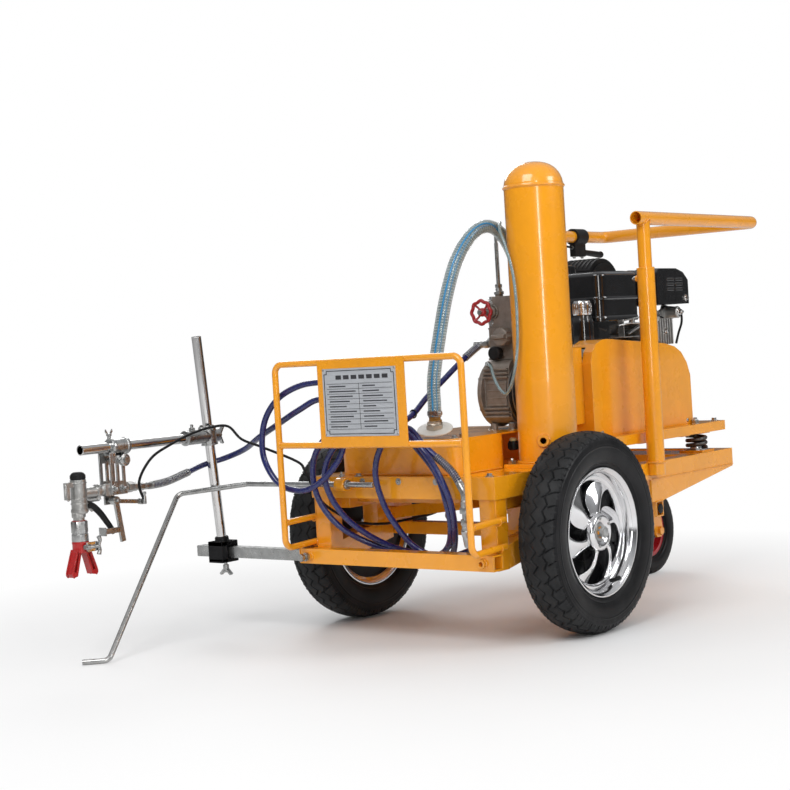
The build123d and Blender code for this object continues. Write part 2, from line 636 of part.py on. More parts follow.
def belt_guard():
    """Cowl open on its right side, with a slot at the front for the belts."""
    x0, x1, y0, y1 = 98.0, 160.0, 296.0, 765.0
    outer = [
        (y0, PLAT_Z1), (y0, 566), (y0 + 8, 592), (y0 + 26, 610), (y0 + 54, 619), (y0 + 76, 620),
        (640, 600), (690, 590), (722, 575), (748, 548), (y1 - 2, 515), (y1, PLAT_Z1),
    ]
    inner = [
        (y0 + 2.5, PLAT_Z1 - 1), (y0 + 2.5, 565), (y0 + 10, 590), (y0 + 27, 607.5),
        (y0 + 54, 616.5), (y0 + 76, 617.5), (640, 597.5), (689, 587.5), (720, 573),
        (745, 547), (y1 - 4.5, 515), (y1 - 2.5, PLAT_Z1 - 1),
    ]
    cowl = plate_yz(outer, x0, x1) - plate_yz(inner, x0 - 1, x1 - 2.5)
    return cowl - box(x0 - 1, 136, y0 - 1, y0 + 45, 430, 603)


def engine_crankcase():
    case = box(-95, 92, 470, 650, PLAT_Z1 + 14, 610)
    case = fillet(case.edges().filter_by(Axis.X), 18)
    case += box(-88, 84, 462, 668, PLAT_Z1, PLAT_Z1 + 16)
    return case - rod_x(70, 93, CRANK_Y, CRANK_Z, 13)


def engine_cylinder(case):
    """Finned cylinder leaning back, with its head."""
    tilt = Plane(origin=(-5, 652, 560), x_dir=(1, 0, 0), z_dir=(0, 0.92, 0.39))
    cylinder = tilt * Pos(0, 0, 45) * Box(120, 120, 90)
    for k in range(6):
        cylinder += tilt * Pos(0, 0, 12 + 13 * k) * Box(140, 138, 5)
    cylinder += tilt * Pos(0, 0, 105) * Box(112, 96, 30)
    cylinder -= box(-200, 200, 400, 650, 300, 760)
    return cylinder - case


def recoil_cover():
    z = CRANK_Z + 8
    cover = rod_x(-96, -152, CRANK_Y, z, 112) + rod_x(-152, -170, CRANK_Y, z, 84)
    cover -= box(-200, 0, 400, 700, 300, PLAT_Z1 + 8)
    return cover - box(-200, -90, 655, 672, 600, 680)


def recoil_grip():
    grip = box(-196, -178, 516, 566, 600, 622)
    return fillet(grip.edges().filter_by(Axis.Y), 7) + rod_x(-179, -170.2, 541, 611, 3)


def fuel_tank():
    tank = rounded_box(-150, 100, 457, 640, 662, 782, 26)
    tank = fillet(tank.faces().sort_by(Axis.Z)[-1].edges(), 10)
    tank += box(-60, 60, 500, 600, 610, 664)
    return tank - rod_z(FILLER_X, FILLER_Y, 760, 800, FILLER_R + FIT)


def fuel_cap():
    cap = rod_z(FILLER_X, FILLER_Y, 783, 806, 30)
    return cap + rod_z(FILLER_X, FILLER_Y, 770, 784, FILLER_R)


def muffler_guard():
    outline = [
        (690, 697), (690, 778), (702, 788), (790, 788), (826, 778), (850, 758), (850, 697),
    ]
    guard = plate_yz(outline, -20, 120)
    return fillet(guard.edges().filter_by(Axis.X).sort_by(Axis.Z)[-5:], 6)


def air_cleaner(muffler):
    cleaner = rod_x(-46, -150, 706, 742, 84) - box(-200, 0, 560, 900, 560, 700)
    cleaner -= box(-200, 200, 440, 642, 600, 900)
    return cleaner - muffler


def oil_canister(case):
    can = rod_z(66, 420, 600, 682, 24) + rod_z(66, 420, 682, 716, 22)
    return can + (box(46, 86, 424, 470, 604, 624) - case)


# ---------------------------------------------------------------- belt drive
def grooved_disc(radius, y, z):
    """Pulley disc with two belt grooves."""
    bore, rim = 8, radius + 2
    profile = [(BELT_X0, bore), (BELT_X0, rim)]
    for k in range(2):
        x = BELT_X0 + 1 + k * BELT_PITCH
        profile += [(x + 1, rim), (x + 3, radius - 7), (x + 8, radius - 7), (x + 10, rim)]
    profile += [(BELT_X1, rim), (BELT_X1, bore)]
    return spun(profile, "X", (0, y, z))


def engine_pulley():
    disc = grooved_disc(ENG_PULLEY_R, CRANK_Y, CRANK_Z)
    return disc + rod_x(71, 134, CRANK_Y, CRANK_Z, 12.5)


def pump_pulley():
    pulley = grooved_disc(PUMP_PULLEY_R, PUMP_Y, PUMP_Z) + rod_x(89, 131, PUMP_Y, PUMP_Z, 12)
    for k in range(5):
        pulley -= Pos(0, PUMP_Y, PUMP_Z) * Rot(72 * k, 0, 0) * rod_x(102, 140, 42, 0, 14)
    return pulley


def belt_outline(offset):
    """(y, z) loop round both pulleys, offset from their radii."""
    dy, dz = CRANK_Y - PUMP_Y, CRANK_Z - PUMP_Z
    base = math.atan2(dz, dy)
    taper = math.asin((PUMP_PULLEY_R - ENG_PULLEY_R) / math.hypot(dy, dz))
    top, bottom = base + math.pi / 2 - taper, base - math.pi / 2 + taper
    wrap = top - bottom
    arcs = (
        (PUMP_Y, PUMP_Z, PUMP_PULLEY_R + offset, top, 2 * math.pi - wrap),
        (CRANK_Y, CRANK_Z, ENG_PULLEY_R + offset, bottom, wrap),
    )
    count = 28
    points = []
    for y, z, radius, start, turn in arcs:
        for i in range(count + 1):
            angle = start + turn * i / count
            points.append((y + radius * math.cos(angle), z + radius * math.sin(angle)))
    return points


def drive_belts(*pulleys):
    """Two belts of rectangular section, trimmed by the pulleys."""
    belts = []
    for k in range(2):
        x = BELT_X0 + 4.2 + BELT_PITCH * k
        belt = plate_yz(belt_outline(2.6), x, x + 4.6) - plate_yz(belt_outline(-3.4), x - 1, x + 6)
        for pulley in pulleys:
            belt -= pulley
        belts.append(largest(belt))
    return belts


# ---------------------------------------------------------------- gun bar, pole and arm
def on_pole(distance):
    """Point on the pole's axis at a distance up from its foot."""
    y = POLE_Y - math.sin(POLE_LEAN) * distance
    return (POLE_X, y, POLE_Z + math.cos(POLE_LEAN) * distance)


CROSS_AT = (ARM_Z - POLE_Z) / math.cos(POLE_LEAN)   # up the pole to the arm's height
CROSS_Y = on_pole(CROSS_AT)[1]
ARM_Y1 = CROSS_Y - 34


def gun_bar():
    half, bore = BAR_HALF, BAR_HALF - 2
    bar = box(BAR_X0, BAR_X1, BAR_Y - half, BAR_Y + half, BAR_Z - half, BAR_Z + half)
    return bar - box(
        BAR_X0 - 1, BAR_X1 + 1, BAR_Y - bore, BAR_Y + bore, BAR_Z - bore, BAR_Z + bore
    )


def pole_clamp():
    """Block on the gun bar with the pole's socket."""
    x0, x1, bore = CLAMP_X0 - 1, CLAMP_X1 + 1, BAR_HALF + 0.06
    clamp = box(CLAMP_X0, CLAMP_X1, -284, -236, 160, POLE_Z)
    clamp -= box(x0, x1, BAR_Y - bore, BAR_Y + bore, BAR_Z - bore, BAR_Z + bore)
    clamp -= rod_z(CLAMP_SCREW_X, BAR_Y, 150, 170, CLAMP_SCREW_R + FIT)
    clamp -= box(x0, -536, -300, -230, 196, 230)
    clear = BAR_HALF + 0.1
    socket = rod(on_pole(-2), on_pole(22), 17)
    socket -= box(-600, -450, BAR_Y - clear, BAR_Y + clear, 150, BAR_Z + clear)
    socket -= rod(on_pole(3), on_pole(30), POLE_R + FIT)
    return clamp + socket


def clamp_wing_screw():
    x = CLAMP_SCREW_X
    screw = rod_z(x, BAR_Y, 132, BAR_Z - BAR_HALF - 0.1, CLAMP_SCREW_R)
    screw += rod_z(x, BAR_Y, 140, 150, 7)
    for side in SIDES:
        screw += beam((x, BAR_Y, 143), (x + side * 16, BAR_Y, 128), 5, 9, (0, 1, 0))
    return screw


def gun_pole():
    return rod(on_pole(3.1), on_pole(POLE_LEN), POLE_R, POLE_R - 2)


def cross_clamp():
    """Joins arm to pole, with a wing screw at the back."""
    x, y, z = GUN_X, CROSS_Y, ARM_Z
    clamp = rod(on_pole(CROSS_AT - 20), on_pole(CROSS_AT + 20), 18)
    clamp += rod_y(x, y - 74, y + 26, z, 16)
    clamp += (
        rod_y(x, y + 26, y + 40, z, 4)
        + beam((x, y + 34, z), (x + 4, y + 44, z + 22), 4, 9, (1, 0, 0))
        + beam((x, y + 34, z), (x - 4, y + 46, z - 20), 4, 9, (1, 0, 0))
    )
    clamp -= rod(on_pole(CROSS_AT - 60), on_pole(CROSS_AT + 60), POLE_R + FIT)
    return clamp - rod_y(x, y - 80, ARM_Y1 + 2, z, ARM_R + FIT)


def gun_arm():
    return rod_y(GUN_X, ARM_Y1, ARM_Y0, ARM_Z, ARM_R, ARM_R - 2)


# ---------------------------------------------------------------- gun
def gun_bracket():
    """Collar on the arm, two cheeks, cross bolt, wing screw and bell crank pin."""
    x, z, y0, y1 = GUN_X, ARM_Z, -592.0, -542.0
    arm_bore = rod_y(x, y0 - 1, y1 + 1, z, ARM_R + FIT)
    bracket = rod_y(x, y0, y1, z, 17) - arm_bore
    for side in SIDES:
        bracket += box(x + side * 17 - 2, x + side * 17 + 2, -619, -553, 352, 448)
    bracket += box(x - 19, x + 19, -592, -545, 434, 441)
    bracket -= arm_bore                                  # reopened where the cheeks close it
    bracket += rod_x(x - 22, x + 26, -557, 423, 5)
    bracket += hex_bar((x + 19, -557, 423), (x + 29, -557, 423), 19)
    bracket += rod_z(x, -590, z + 16, z + 30, 4)
    for wing_y in (-602, -580):
        bracket += beam((x, -590, z + 24), (x, wing_y, z + 36), 4, 8, (1, 0, 0))
    bracket += box(x - 19, x - 15, -600, -572, 328, 354)
    return bracket + rod_x(x - 19, x + 12, BELL_Y, BELL_Z, BELL_PIN_R)


def spray_gun(bracket):
    """Gun head, handle tube through the bracket, swivel and front hook."""
    x, y = GUN_X, GUN_Y
    gun = rod_z(x, y, 326, 392, 17) + rod_z(x, y, 392, 404, 12)
    gun += rod_y(x, y + 8, -552, 362, 12)
    gun += box(x - 14.9, x + 14.9, -622, -560, 350, 374)
    gun += rod((x, -552, 362), (x, -500, 360), 7) + hex_bar((x, -548, 362), (x, -534, 362), 21)
    gun += rod_z(x, TIP_Y, 306, 327, 12)
    gun += box(x - 5, x + 5, y - 34, y - 12, 378, 388) + box(x - 5, x + 5, y - 36, y - 27, 352, 388)
    gun -= box(x - 6.1, x + 6.1, y - 5, y + 40, 330, 352)
    return largest(gun - bracket)


def gun_trigger(gun):
    """Trigger hinged on the gun head."""
    x, y, z, up = GUN_X, GUN_Y, 344, (0, 1, 1)
    trigger = beam((x, y + 8, z), (x, y + 40, 322), 10, 12, up)
    trigger += beam((x, y + 38, 324), (x, -592, 272), 10, 9, up)
    trigger += rod_x(x - 6, x + 6, y + 10, z, 5)
    return largest(trigger - gun)


def cable_lever():
    """Bell crank that the control cable pulls."""
    x = GUN_X
    hub_bore = rod_x(x - 6, x + 10, BELL_Y, BELL_Z, 6)
    lever = rod_x(x - 6, x + 8, BELL_Y, BELL_Z, 8, BELL_PIN_R + FIT)
    lever += beam((x + 4, -580, 335), (x + 4, -512, 327), 6, 9) - hub_bore
    lever += beam((x + 4, -585, 331), (x + 4, -572, 247), 6, 12, (0, 1, 0)) - hub_bore
    lever += box(x - 14, x + 7, -623, -620, 264, 282) + box(x + 7, x + 10, -623, -578, 268, 280)
    return lever


def tip_guard():
    """Tip guard with its union nut and two hollow wings."""
    x, y = GUN_X, TIP_Y
    tip_bore = rod_x(x - 30, x + 30, y, TIP_Z, TIP_R + FIT)
    guard = rod_z(x, y, 262, 305.8, 15) - rod_z(x, y, 250, 268, 8)
    guard += rod_z(x, y, 238, 262, 17)
    guard -= tip_bore
    # (distance from the tip's axis, z)
    outline = ((4, 246), (16, 246), (34, 196), (30, 188), (20, 190))
    window = ((12, 238), (15, 238), (29, 200), (23, 198))
    for side in SIDES:
        wing = plate_yz([(y + side * a, z) for a, z in outline], x - 9, x + 9)
        wing -= plate_yz([(y + side * a, z) for a, z in window], x - 10, x + 10)
        guard += wing
    return guard - tip_bore


def spray_tip():
    """Tip with its key."""
    tip = rod_x(GUN_X - 18, GUN_X + 24, TIP_Y, TIP_Z, TIP_R)
    return tip + box(GUN_X + 22, GUN_X + 27, TIP_Y - 4, TIP_Y + 24, TIP_Z - 10, TIP_Z + 10)


def guide_rod():
    """Rod that shows the driver the line."""
    return swept(
        [(-54, ROD_Y, ROD_Z), (-424, ROD_Y, ROD_Z), (-580, -333, 322.7),
         (-473.4, -664, 6.4), (-512.4, -704, 6.4)],
        ROD_R, 16,
    )


# ---------------------------------------------------------------- pressure hose and cable
# Centre lines: (x, y, z)
HOSE_FROM_PUMP = [
    (12, 83.2, 625.6), (0, 76, 621), (-11, 20, 588), (-30, -20, 552), (-42, -70, 516),
    (-44, -120, 482), (-40, -180, 462), (-20, -232, 462), (30, -258, 452), (90, -262, 400),
    (123, -262, 357), (141, -262, 304), (138, -248, 252), (108, -222, 206), (60, -205, 184),
    (10, -214, 204), (-18, -246, 262), (-32, -262, 312), (-36, -272, 372), (-6, -276, 430),
    (60, -278, 462), (112, -282, 420), (176, -284, 372), (206, -286, 330),
]
HOSE_TO_GUN = [
    (206, -286, 240), (202, -276, 224), (188, -246, 212), (150, -212, 196), (60, -170, 176),
    (-40, -176, 180), (-110, -214, 206), (-160, -262, 252), (-196, -284, 320), (-192, -290, 400),
    (-130, -293, 460), (-40, -294, 486), (60, -296, 462), (130, -298, 400), (165, -290, 330),
    (158, -262, 270), (120, -215, 206), (50, -150, 178), (-40, -160, 182), (-90, -214, 214),
    (-132, -268, 270), (-156, -296, 340), (-140, -304, 400), (-80, -309, 452), (0, -311, 480),
    (60, -312, 520), (40, -313, 556), (-60, -313, 566), (-136, -313, 566), (-200, -313, 560),
    (-262, -314, 536), (-304, -314, 495), (-320, -315, 446), (-316, -315, 397),
    (-284, -314, 351), (-238, -313, 333), (-186, -312, 337), (-130, -310, 372),
    (-96, -303, 424), (-112, -301, 486), (-150, -304, 528), (-214, -308, 506),
    (-292, -296, 474), (-372, -270, 446), (-450, -236, 418), (-512, -238, 398),
    (-540, -284, 386), (-532, -350, 373), (-518, -420, 362), (-512, -468, 359),
    (-512, -499, 359.6),
]
# from the bell crank to the hand lever
CABLE_PATH = [
    (-498, -512, 328), (-492, -530, 372), (-488, -494, 420), (-480, -440, 446),
    (-478, -380, 464), (-476, -320, 474), (-452, -286, 474), (-402, -296, 445),
    (-342, -296, 427), (-262, -270, 392), (-232, -278, 372), (-214, -272, 330),
    (-188, -262, 292), (-170, -190, 250), (-154, -110, 236), (-150, -40, 236),
    (-150, 60, 238), (-150, 150, 252), (-156, 330, 262), (-188, 392, 262), (-232, 410, 268),
    (-238, 450, 292), (-240, 520, 302), (-246, 580, 312), (-248, 590, 350), (-246, 592, 420),
    (-246, 592, 640), (-248, 594, 800), (-256, 612, 858), (-254, 660, 876), (-240, 720, 877),
    (-232, 790, 876), (-229, 855, 870),
]

# ---------------------------------------------------------------- build and write
# Pieces that other pieces are trimmed against
frame = chassis_frame()
base = pump_base()
tank = accumulator_tank(base)
case = engine_crankcase()
muffler = muffler_guard()
pulleys = engine_pulley(), pump_pulley()
bracket = gun_bracket()
gun = spray_gun(bracket)

save("chassis_frame", frame)
save("deck_plate", deck_plate(frame))
save("pump_base", base)
save("accumulator_tank", tank)
save("chassis_fasteners", *chassis_fasteners(tank))
save("handle_posts", handle_post(-1, POST_Y_RIGHT), handle_post(1, POST_Y_LEFT))
save("pump_housing", pump_housing(), pump_cover())
save("bleed_tube", hose(BLEED_PATH, 3.6))
for name, side in (("left", 1), ("right", -1)):
    save("tyre_" + name, tyre(side * WHEEL_X, 0, WHEEL_R, WHEEL_W, BEAD_R, 32))
    save("rim_" + name, *main_rim(side))
save("caster_tyre", tyre(0, CASTER_Y, CASTER_R, CASTER_W, 62, 17))
save("isolator_springs", *[spring(side * SPRING_X, y) for side in SIDES for y in SPRING_YS])
save("engine_crankcase", case)
save("engine_cylinder", engine_cylinder(case))
save("oil_canister", oil_canister(case))
save("muffler_guard", muffler)
save("air_cleaner", air_cleaner(muffler))
save("engine_pulley", pulleys[0])
save("pump_pulley", pulleys[1])
save("drive_belts", *drive_belts(*pulleys))
save("gun_bracket", bracket)
save("spray_gun", gun)
save("gun_trigger", gun_trigger(gun))
save("pressure_hose", hose(HOSE_FROM_PUMP, HOSE_R), hose(HOSE_TO_GUN, HOSE_R))
save("control_cable", hose(CABLE_PATH, CABLE_R))

# Pieces that stand alone, each written under its function's name
for build in (
    front_sleeve, sleeve_lock_bolt, front_guard, nameplate, main_axle,
    pump_head, pressure_handwheel, prime_knob, suction_hose, suction_strainer, hose_support_rod,
    caster_mount, caster_fork, caster_rim, handle_frame, lever_bracket, hand_lever,
    engine_platform, belt_guard, recoil_cover, recoil_grip, fuel_tank, fuel_cap,
    gun_bar, pole_clamp, clamp_wing_screw, gun_pole, cross_clamp, gun_arm,
    cable_lever, tip_guard, spray_tip, guide_rod,
):
    save(build.__name__, build())
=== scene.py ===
"""Wheeled pump cart with an engine and a spray gun on an outrigger.

Z is up from the floor. The two main wheels turn on an axle along X over y = 0, the caster is at
y = 762, the handle reaches out toward +Y and the gun stands at -X, -Y.
Lengths are millimetres, except in materials, camera, floor and lights, which use metres.
"""
import json
import math
from math import cos, pi, radians, sin
import bpy
import bmesh
from mathutils import Matrix, Vector


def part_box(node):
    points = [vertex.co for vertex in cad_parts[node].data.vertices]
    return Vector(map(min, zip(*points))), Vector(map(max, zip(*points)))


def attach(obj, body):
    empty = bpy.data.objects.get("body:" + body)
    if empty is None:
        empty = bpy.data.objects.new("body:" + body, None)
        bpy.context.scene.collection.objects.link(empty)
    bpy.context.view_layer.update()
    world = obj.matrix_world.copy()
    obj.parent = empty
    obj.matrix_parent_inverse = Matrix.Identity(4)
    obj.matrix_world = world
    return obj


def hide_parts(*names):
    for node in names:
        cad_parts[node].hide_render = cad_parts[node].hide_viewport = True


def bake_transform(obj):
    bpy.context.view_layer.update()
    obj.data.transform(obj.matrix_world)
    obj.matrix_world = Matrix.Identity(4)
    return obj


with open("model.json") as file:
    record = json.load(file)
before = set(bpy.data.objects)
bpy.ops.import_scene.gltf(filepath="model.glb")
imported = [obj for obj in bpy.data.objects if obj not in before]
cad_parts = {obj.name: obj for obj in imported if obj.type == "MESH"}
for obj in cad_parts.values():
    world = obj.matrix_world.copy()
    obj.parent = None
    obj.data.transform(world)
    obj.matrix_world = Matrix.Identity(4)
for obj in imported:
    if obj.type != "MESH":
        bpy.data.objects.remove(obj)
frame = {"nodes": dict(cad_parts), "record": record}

scene = bpy.context.scene
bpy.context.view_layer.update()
SLOT_OF = {sub["node"]: sub["material_slot"] for sub in frame["record"]["subparts"]}
SLOTS = {entry["slot"] for entry in frame["record"]["materials"]}
MM = 0.001
X, Y, Z = Vector((1, 0, 0)), Vector((0, 1, 0)), Vector((0, 0, 1))
SIDES = (-1, 1)

# Driving places
WHEEL_X, WHEEL_Z = 317, 215
CASTER = (0, 762, 115)
POST_X = 229
POSTS = ((-1, 620), (1, 450))  # side, y
MOUNTS = [(side * 170, y) for side in SIDES for y in (310, 758)]  # isolator springs, x and y
TANK_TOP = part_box("accumulator_tank")[1].z * 1000
TANK_X, TANK_Y = 201, 38
GUN_X = -512
TIP_Y = -688


# ------------------------------------------------------------------ shader nodes and materials
def feed(tree, target, inputs):
    """Set the inputs of a node: sockets are linked, other values are stored."""
    for key, value in inputs.items():
        if isinstance(value, bpy.types.NodeSocket):
            tree.links.new(value, target.inputs[key])
        else:
            target.inputs[key].default_value = value


def node(tree, kind, inputs={}, **settings):
    made = tree.nodes.new("ShaderNode" + kind)
    for key, value in settings.items():
        setattr(made, key, value)
    feed(tree, made, inputs)
    return made


def noise(tree, source, scale, detail=2.0, roughness=0.5):
    inputs = {"Vector": source, "Scale": scale, "Detail": detail, "Roughness": roughness}
    return node(tree, "TexNoise", inputs).outputs["Fac"]


def ramp(tree, factor, first, last, *middle):
    """Colour ramp whose stops are (position, colour)."""
    made = node(tree, "ValToRGB", {0: factor})
    stops = made.color_ramp.elements
    for stop, (position, colour) in zip(stops, (first, last)):
        stop.position, stop.color = position, (*colour, 1)
    for position, colour in middle:
        stops.new(position).color = (*colour, 1)
    return made.outputs[0]


BLACK, WHITE = (0, 0, 0), (1, 1, 1)
MATERIALS = {}


def material(name, colour, rough, metal=0.0, vary=0.1, scale=25.0, bump=0.15, grain=350.0,
             depth=0.0006, coat=0.0, clear=0.0, alpha=1.0, edge=0.0, wear=None, dirt=None,
             rough_vary=0.12, stretch=None, specular=0.5):
    """Mottled surface.

    vary and scale: amount and noise scale of the colour mottling; rough_vary: roughness spread
    bump, grain, depth: strength, noise scale and distance (m) of the relief
    clear: transmission; edge: radius (m) of shaded edge rounding
    wear: colour on rounded edges (needs edge); dirt: colour and strength of blotches
    stretch: scale of the texture space along x, y, z
    """
    made = bpy.data.materials.new(name)
    made.use_nodes = True
    tree = made.node_tree
    tree.nodes.clear()
    output, shader = node(tree, "OutputMaterial"), node(tree, "BsdfPrincipled")
    feed(tree, output, {0: shader.outputs[0]})
    source = node(tree, "TexCoord").outputs["Object"]
    if stretch:
        source = node(tree, "Mapping", {0: source, "Scale": stretch}).outputs[0]
    dark = [c * (1 - vary) for c in colour]
    light = [min(1.0, c * (1 + vary) + 0.01 * vary) for c in colour]
    tint = ramp(tree, noise(tree, source, scale, detail=4), (0.3, dark), (0.7, light))
    if edge:
        rounded = node(tree, "Bevel", {"Radius": edge}, samples=4).outputs[0]
    if wear:
        facing = node(tree, "NewGeometry").outputs["Normal"]
        dot = node(tree, "VectorMath", {0: rounded, 1: facing}, operation="DOT_PRODUCT")
        bend = node(tree, "Math", {0: 1.0, 1: dot.outputs["Value"]}, operation="SUBTRACT")
        broken = node(tree, "Math", {0: bend.outputs[0], 1: noise(tree, source, 90)},
                      operation="MULTIPLY")
        mask = ramp(tree, broken.outputs[0], (0.10, BLACK), (0.22, WHITE))
        tint = node(tree, "MixRGB", {0: mask, 1: tint, 2: (*wear, 1)}).outputs[0]
    if dirt:
        dirt_colour, amount = dirt
        blotches = noise(tree, source, 7, detail=8, roughness=0.65)
        mask = ramp(tree, blotches, (0.5, BLACK), (0.8, (amount,) * 3))
        tint = node(tree, "MixRGB", {0: mask, 1: tint, 2: (*dirt_colour, 1)}).outputs[0]
    roughness = node(tree, "MapRange", {
        "Value": noise(tree, source, scale * 2.3, detail=6),
        "To Min": max(0.02, rough - rough_vary),
        "To Max": min(1.0, rough + rough_vary)})
    relief = node(tree, "Bump", {"Height": noise(tree, source, grain),
                                 "Strength": bump, "Distance": depth})
    feed(tree, shader, {
        "Base Color": tint, "Roughness": roughness.outputs[0], "Metallic": metal,
        "Coat Weight": coat, "Coat Roughness": 0.06, "Transmission Weight": clear,
        "Alpha": alpha, "Specular IOR Level": specular, "Normal": relief.outputs[0]})
    if edge:
        feed(tree, relief, {"Normal": rounded})
        if coat:
            feed(tree, shader, {"Coat Normal": rounded})
    MATERIALS[name] = made
    return made


material("orange_paint", (0.88, 0.345, 0.006), rough=0.28, vary=0.05, scale=6, bump=0.30,
         grain=330, coat=0.85, edge=0.0018, wear=(0.90, 0.48, 0.07),
         dirt=((0.55, 0.23, 0.01), 0.30), depth=0.0005)
material("weld", (0.80, 0.305, 0.006), rough=0.35, vary=0.12, scale=90, bump=0.5, grain=420,
         coat=0.6, depth=0.001)
material("zinc_steel", (0.44, 0.445, 0.44), rough=0.30, metal=1.0, vary=0.16, scale=45,
         bump=0.12, grain=500, edge=0.0009, dirt=((0.30, 0.25, 0.19), 0.35), rough_vary=0.14)
material("chrome", (0.66, 0.655, 0.65), rough=0.10, metal=1.0, vary=0.05, scale=30, bump=0.04,
         grain=300, edge=0.0006, dirt=((0.42, 0.38, 0.32), 0.28), rough_vary=0.07)
material("nameplate_grey", (0.52, 0.54, 0.57), rough=0.38, metal=0.35, vary=0.07, scale=30,
         bump=0.10, grain=700, stretch=(1, 1, 14))
material("plate_ink", (0.035, 0.035, 0.04), rough=0.5, metal=0.1, vary=0.2, scale=80, bump=0.1)
material("tyre_tread", (0.018, 0.0185, 0.0195), rough=0.60, vary=0.30, scale=30, bump=0.5,
         grain=900, dirt=((0.045, 0.044, 0.041), 0.5), depth=0.0005, specular=0.18)
material("tyre_rubber", (0.007, 0.007, 0.008), rough=0.36, vary=0.35, scale=14, bump=0.35,
         grain=900, dirt=((0.022, 0.021, 0.020), 0.5), rough_vary=0.10, depth=0.0003,
         specular=0.18)
material("polished_alloy", (0.80, 0.80, 0.81), rough=0.13, metal=1.0, vary=0.05, scale=40,
         bump=0.06, grain=240, rough_vary=0.07, edge=0.0012)
material("red_paint", (0.36, 0.006, 0.012), rough=0.30, vary=0.14, scale=40, bump=0.15,
         grain=300, coat=0.5, edge=0.0012, wear=(0.36, 0.18, 0.14))
material("red_plastic", (0.42, 0.010, 0.010), rough=0.34, vary=0.10, scale=50, bump=0.14,
         grain=500, coat=0.25, edge=0.0010)
material("cast_alloy", (0.27, 0.235, 0.205), rough=0.44, metal=0.45, vary=0.20, scale=60,
         bump=0.55, grain=650, edge=0.0016, wear=(0.55, 0.53, 0.48),
         dirt=((0.14, 0.115, 0.085), 0.7))
material("clear_hose", (0.62, 0.80, 0.84), rough=0.10, vary=0.08, scale=30, bump=0.10,
         grain=300, clear=0.70, alpha=0.60, coat=0.6)
material("hose_core", (0.22, 0.30, 0.31), rough=0.30, metal=0.25, vary=0.22, scale=40,
         bump=0.2, grain=200, coat=0.6)
material("hose_stripe", (0.005, 0.22, 0.48), rough=0.35, scale=60, bump=0.1, coat=0.4)
material("strainer_steel", (0.52, 0.47, 0.40), rough=0.34, metal=0.9, vary=0.15, scale=70,
         bump=0.2, grain=500, edge=0.0012)
material("amber", (0.42, 0.20, 0.035), rough=0.22, vary=0.2, scale=60, bump=0.12, coat=0.6,
         clear=0.35)
material("white_plastic", (0.66, 0.655, 0.62), rough=0.42, vary=0.05, scale=40, bump=0.2,
         grain=400, edge=0.0010, dirt=((0.45, 0.40, 0.30), 0.35))
material("blue_hose", (0.006, 0.012, 0.105), rough=0.26, vary=0.18, scale=50, bump=0.12,
         grain=600, coat=0.45, dirt=((0.03, 0.04, 0.12), 0.2))
material("black_rubber", (0.009, 0.009, 0.010), rough=0.55, vary=0.25, scale=60, bump=0.25,
         grain=700, specular=0.18)
material("black_plastic", (0.010, 0.010, 0.0105), rough=0.48, vary=0.25, scale=50, bump=0.40,
         grain=900, edge=0.0012, rough_vary=0.1, specular=0.18)
material("engine_black", (0.006, 0.006, 0.007), rough=0.15, vary=0.2, scale=20, bump=0.05,
         grain=200, coat=0.9, rough_vary=0.06, dirt=((0.02, 0.02, 0.018), 0.2))
material("black_paint", (0.010, 0.010, 0.011), rough=0.36, metal=0.2, vary=0.2, scale=50,
         bump=0.2, grain=500, edge=0.0010, wear=(0.25, 0.24, 0.22), specular=0.18)
material("spring_steel", (0.10, 0.095, 0.09), rough=0.34, metal=0.9, vary=0.25, scale=80,
         bump=0.2, grain=500)
material("pulley_iron", (0.22, 0.21, 0.20), rough=0.42, metal=0.9, vary=0.2, scale=60,
         bump=0.4, grain=500, edge=0.0010)
material("gun_alloy", (0.50, 0.50, 0.49), rough=0.36, metal=0.9, vary=0.14, scale=60,
         bump=0.35, grain=500, edge=0.0014, dirt=((0.22, 0.20, 0.17), 0.5))
material("engine_cast", (0.40, 0.40, 0.39), rough=0.45, metal=0.85, vary=0.18, scale=60,
         bump=0.5, grain=600, edge=0.0014, dirt=((0.12, 0.11, 0.09), 0.6))
# painted shade: near-black for the sheets in the muffler's louvre slots, standing in for the
# shadow inside them
material("painted_slot_shade", (0.004, 0.004, 0.004), rough=0.8, vary=0.3, scale=60, bump=0.1)
material("yellow_cap", (0.70, 0.62, 0.30), rough=0.42, vary=0.08, scale=60, bump=0.2)

for name, piece in frame["nodes"].items():
    cast = name in ("engine_crankcase", "engine_cylinder")
    piece.data.materials.clear()
    piece.data.materials.append(MATERIALS["engine_cast" if cast else SLOT_OF[name]])


# ------------------------------------------------------------------ paths and circles
def basis(axis):
    """Two unit vectors square to a unit axis."""
    across = axis.cross(Z if abs(axis.z) < 0.9 else X).normalized()
    return across, axis.cross(across).normalized()


def frames(path):
    """(tangent, across, up) at each point of a polyline, carried along without twist."""
    last = len(path) - 1
    tangents = [(path[min(i + 1, last)] - path[max(i - 1, 0)]).normalized()
                for i in range(last + 1)]
    across = basis(tangents[0])[0]
    made = []
    for i, tangent in enumerate(tangents):
        if i:
            across = (across - tangent * across.dot(tangent)).normalized()
        made.append((tangent, across, tangent.cross(across).normalized()))
    return made


def curve(stations, steps):
    """Smooth curve through the stations, each span cut into equal steps."""
    pts = [Vector(p) for p in stations]
    out = []
    last = len(pts) - 1
    for i in range(last):
        before, start, end, after = pts[max(i - 1, 0)], pts[i], pts[i + 1], pts[min(i + 2, last)]
        for k in range(steps):
            t = k / steps
            out.append(start * (2 * t**3 - 3 * t**2 + 1)
                       + (end - before) * (0.5 * (t**3 - 2 * t**2 + t))
                       + end * (3 * t**2 - 2 * t**3)
                       + (after - start) * (0.5 * (t**3 - t**2)))
    out.append(pts[-1])
    return out


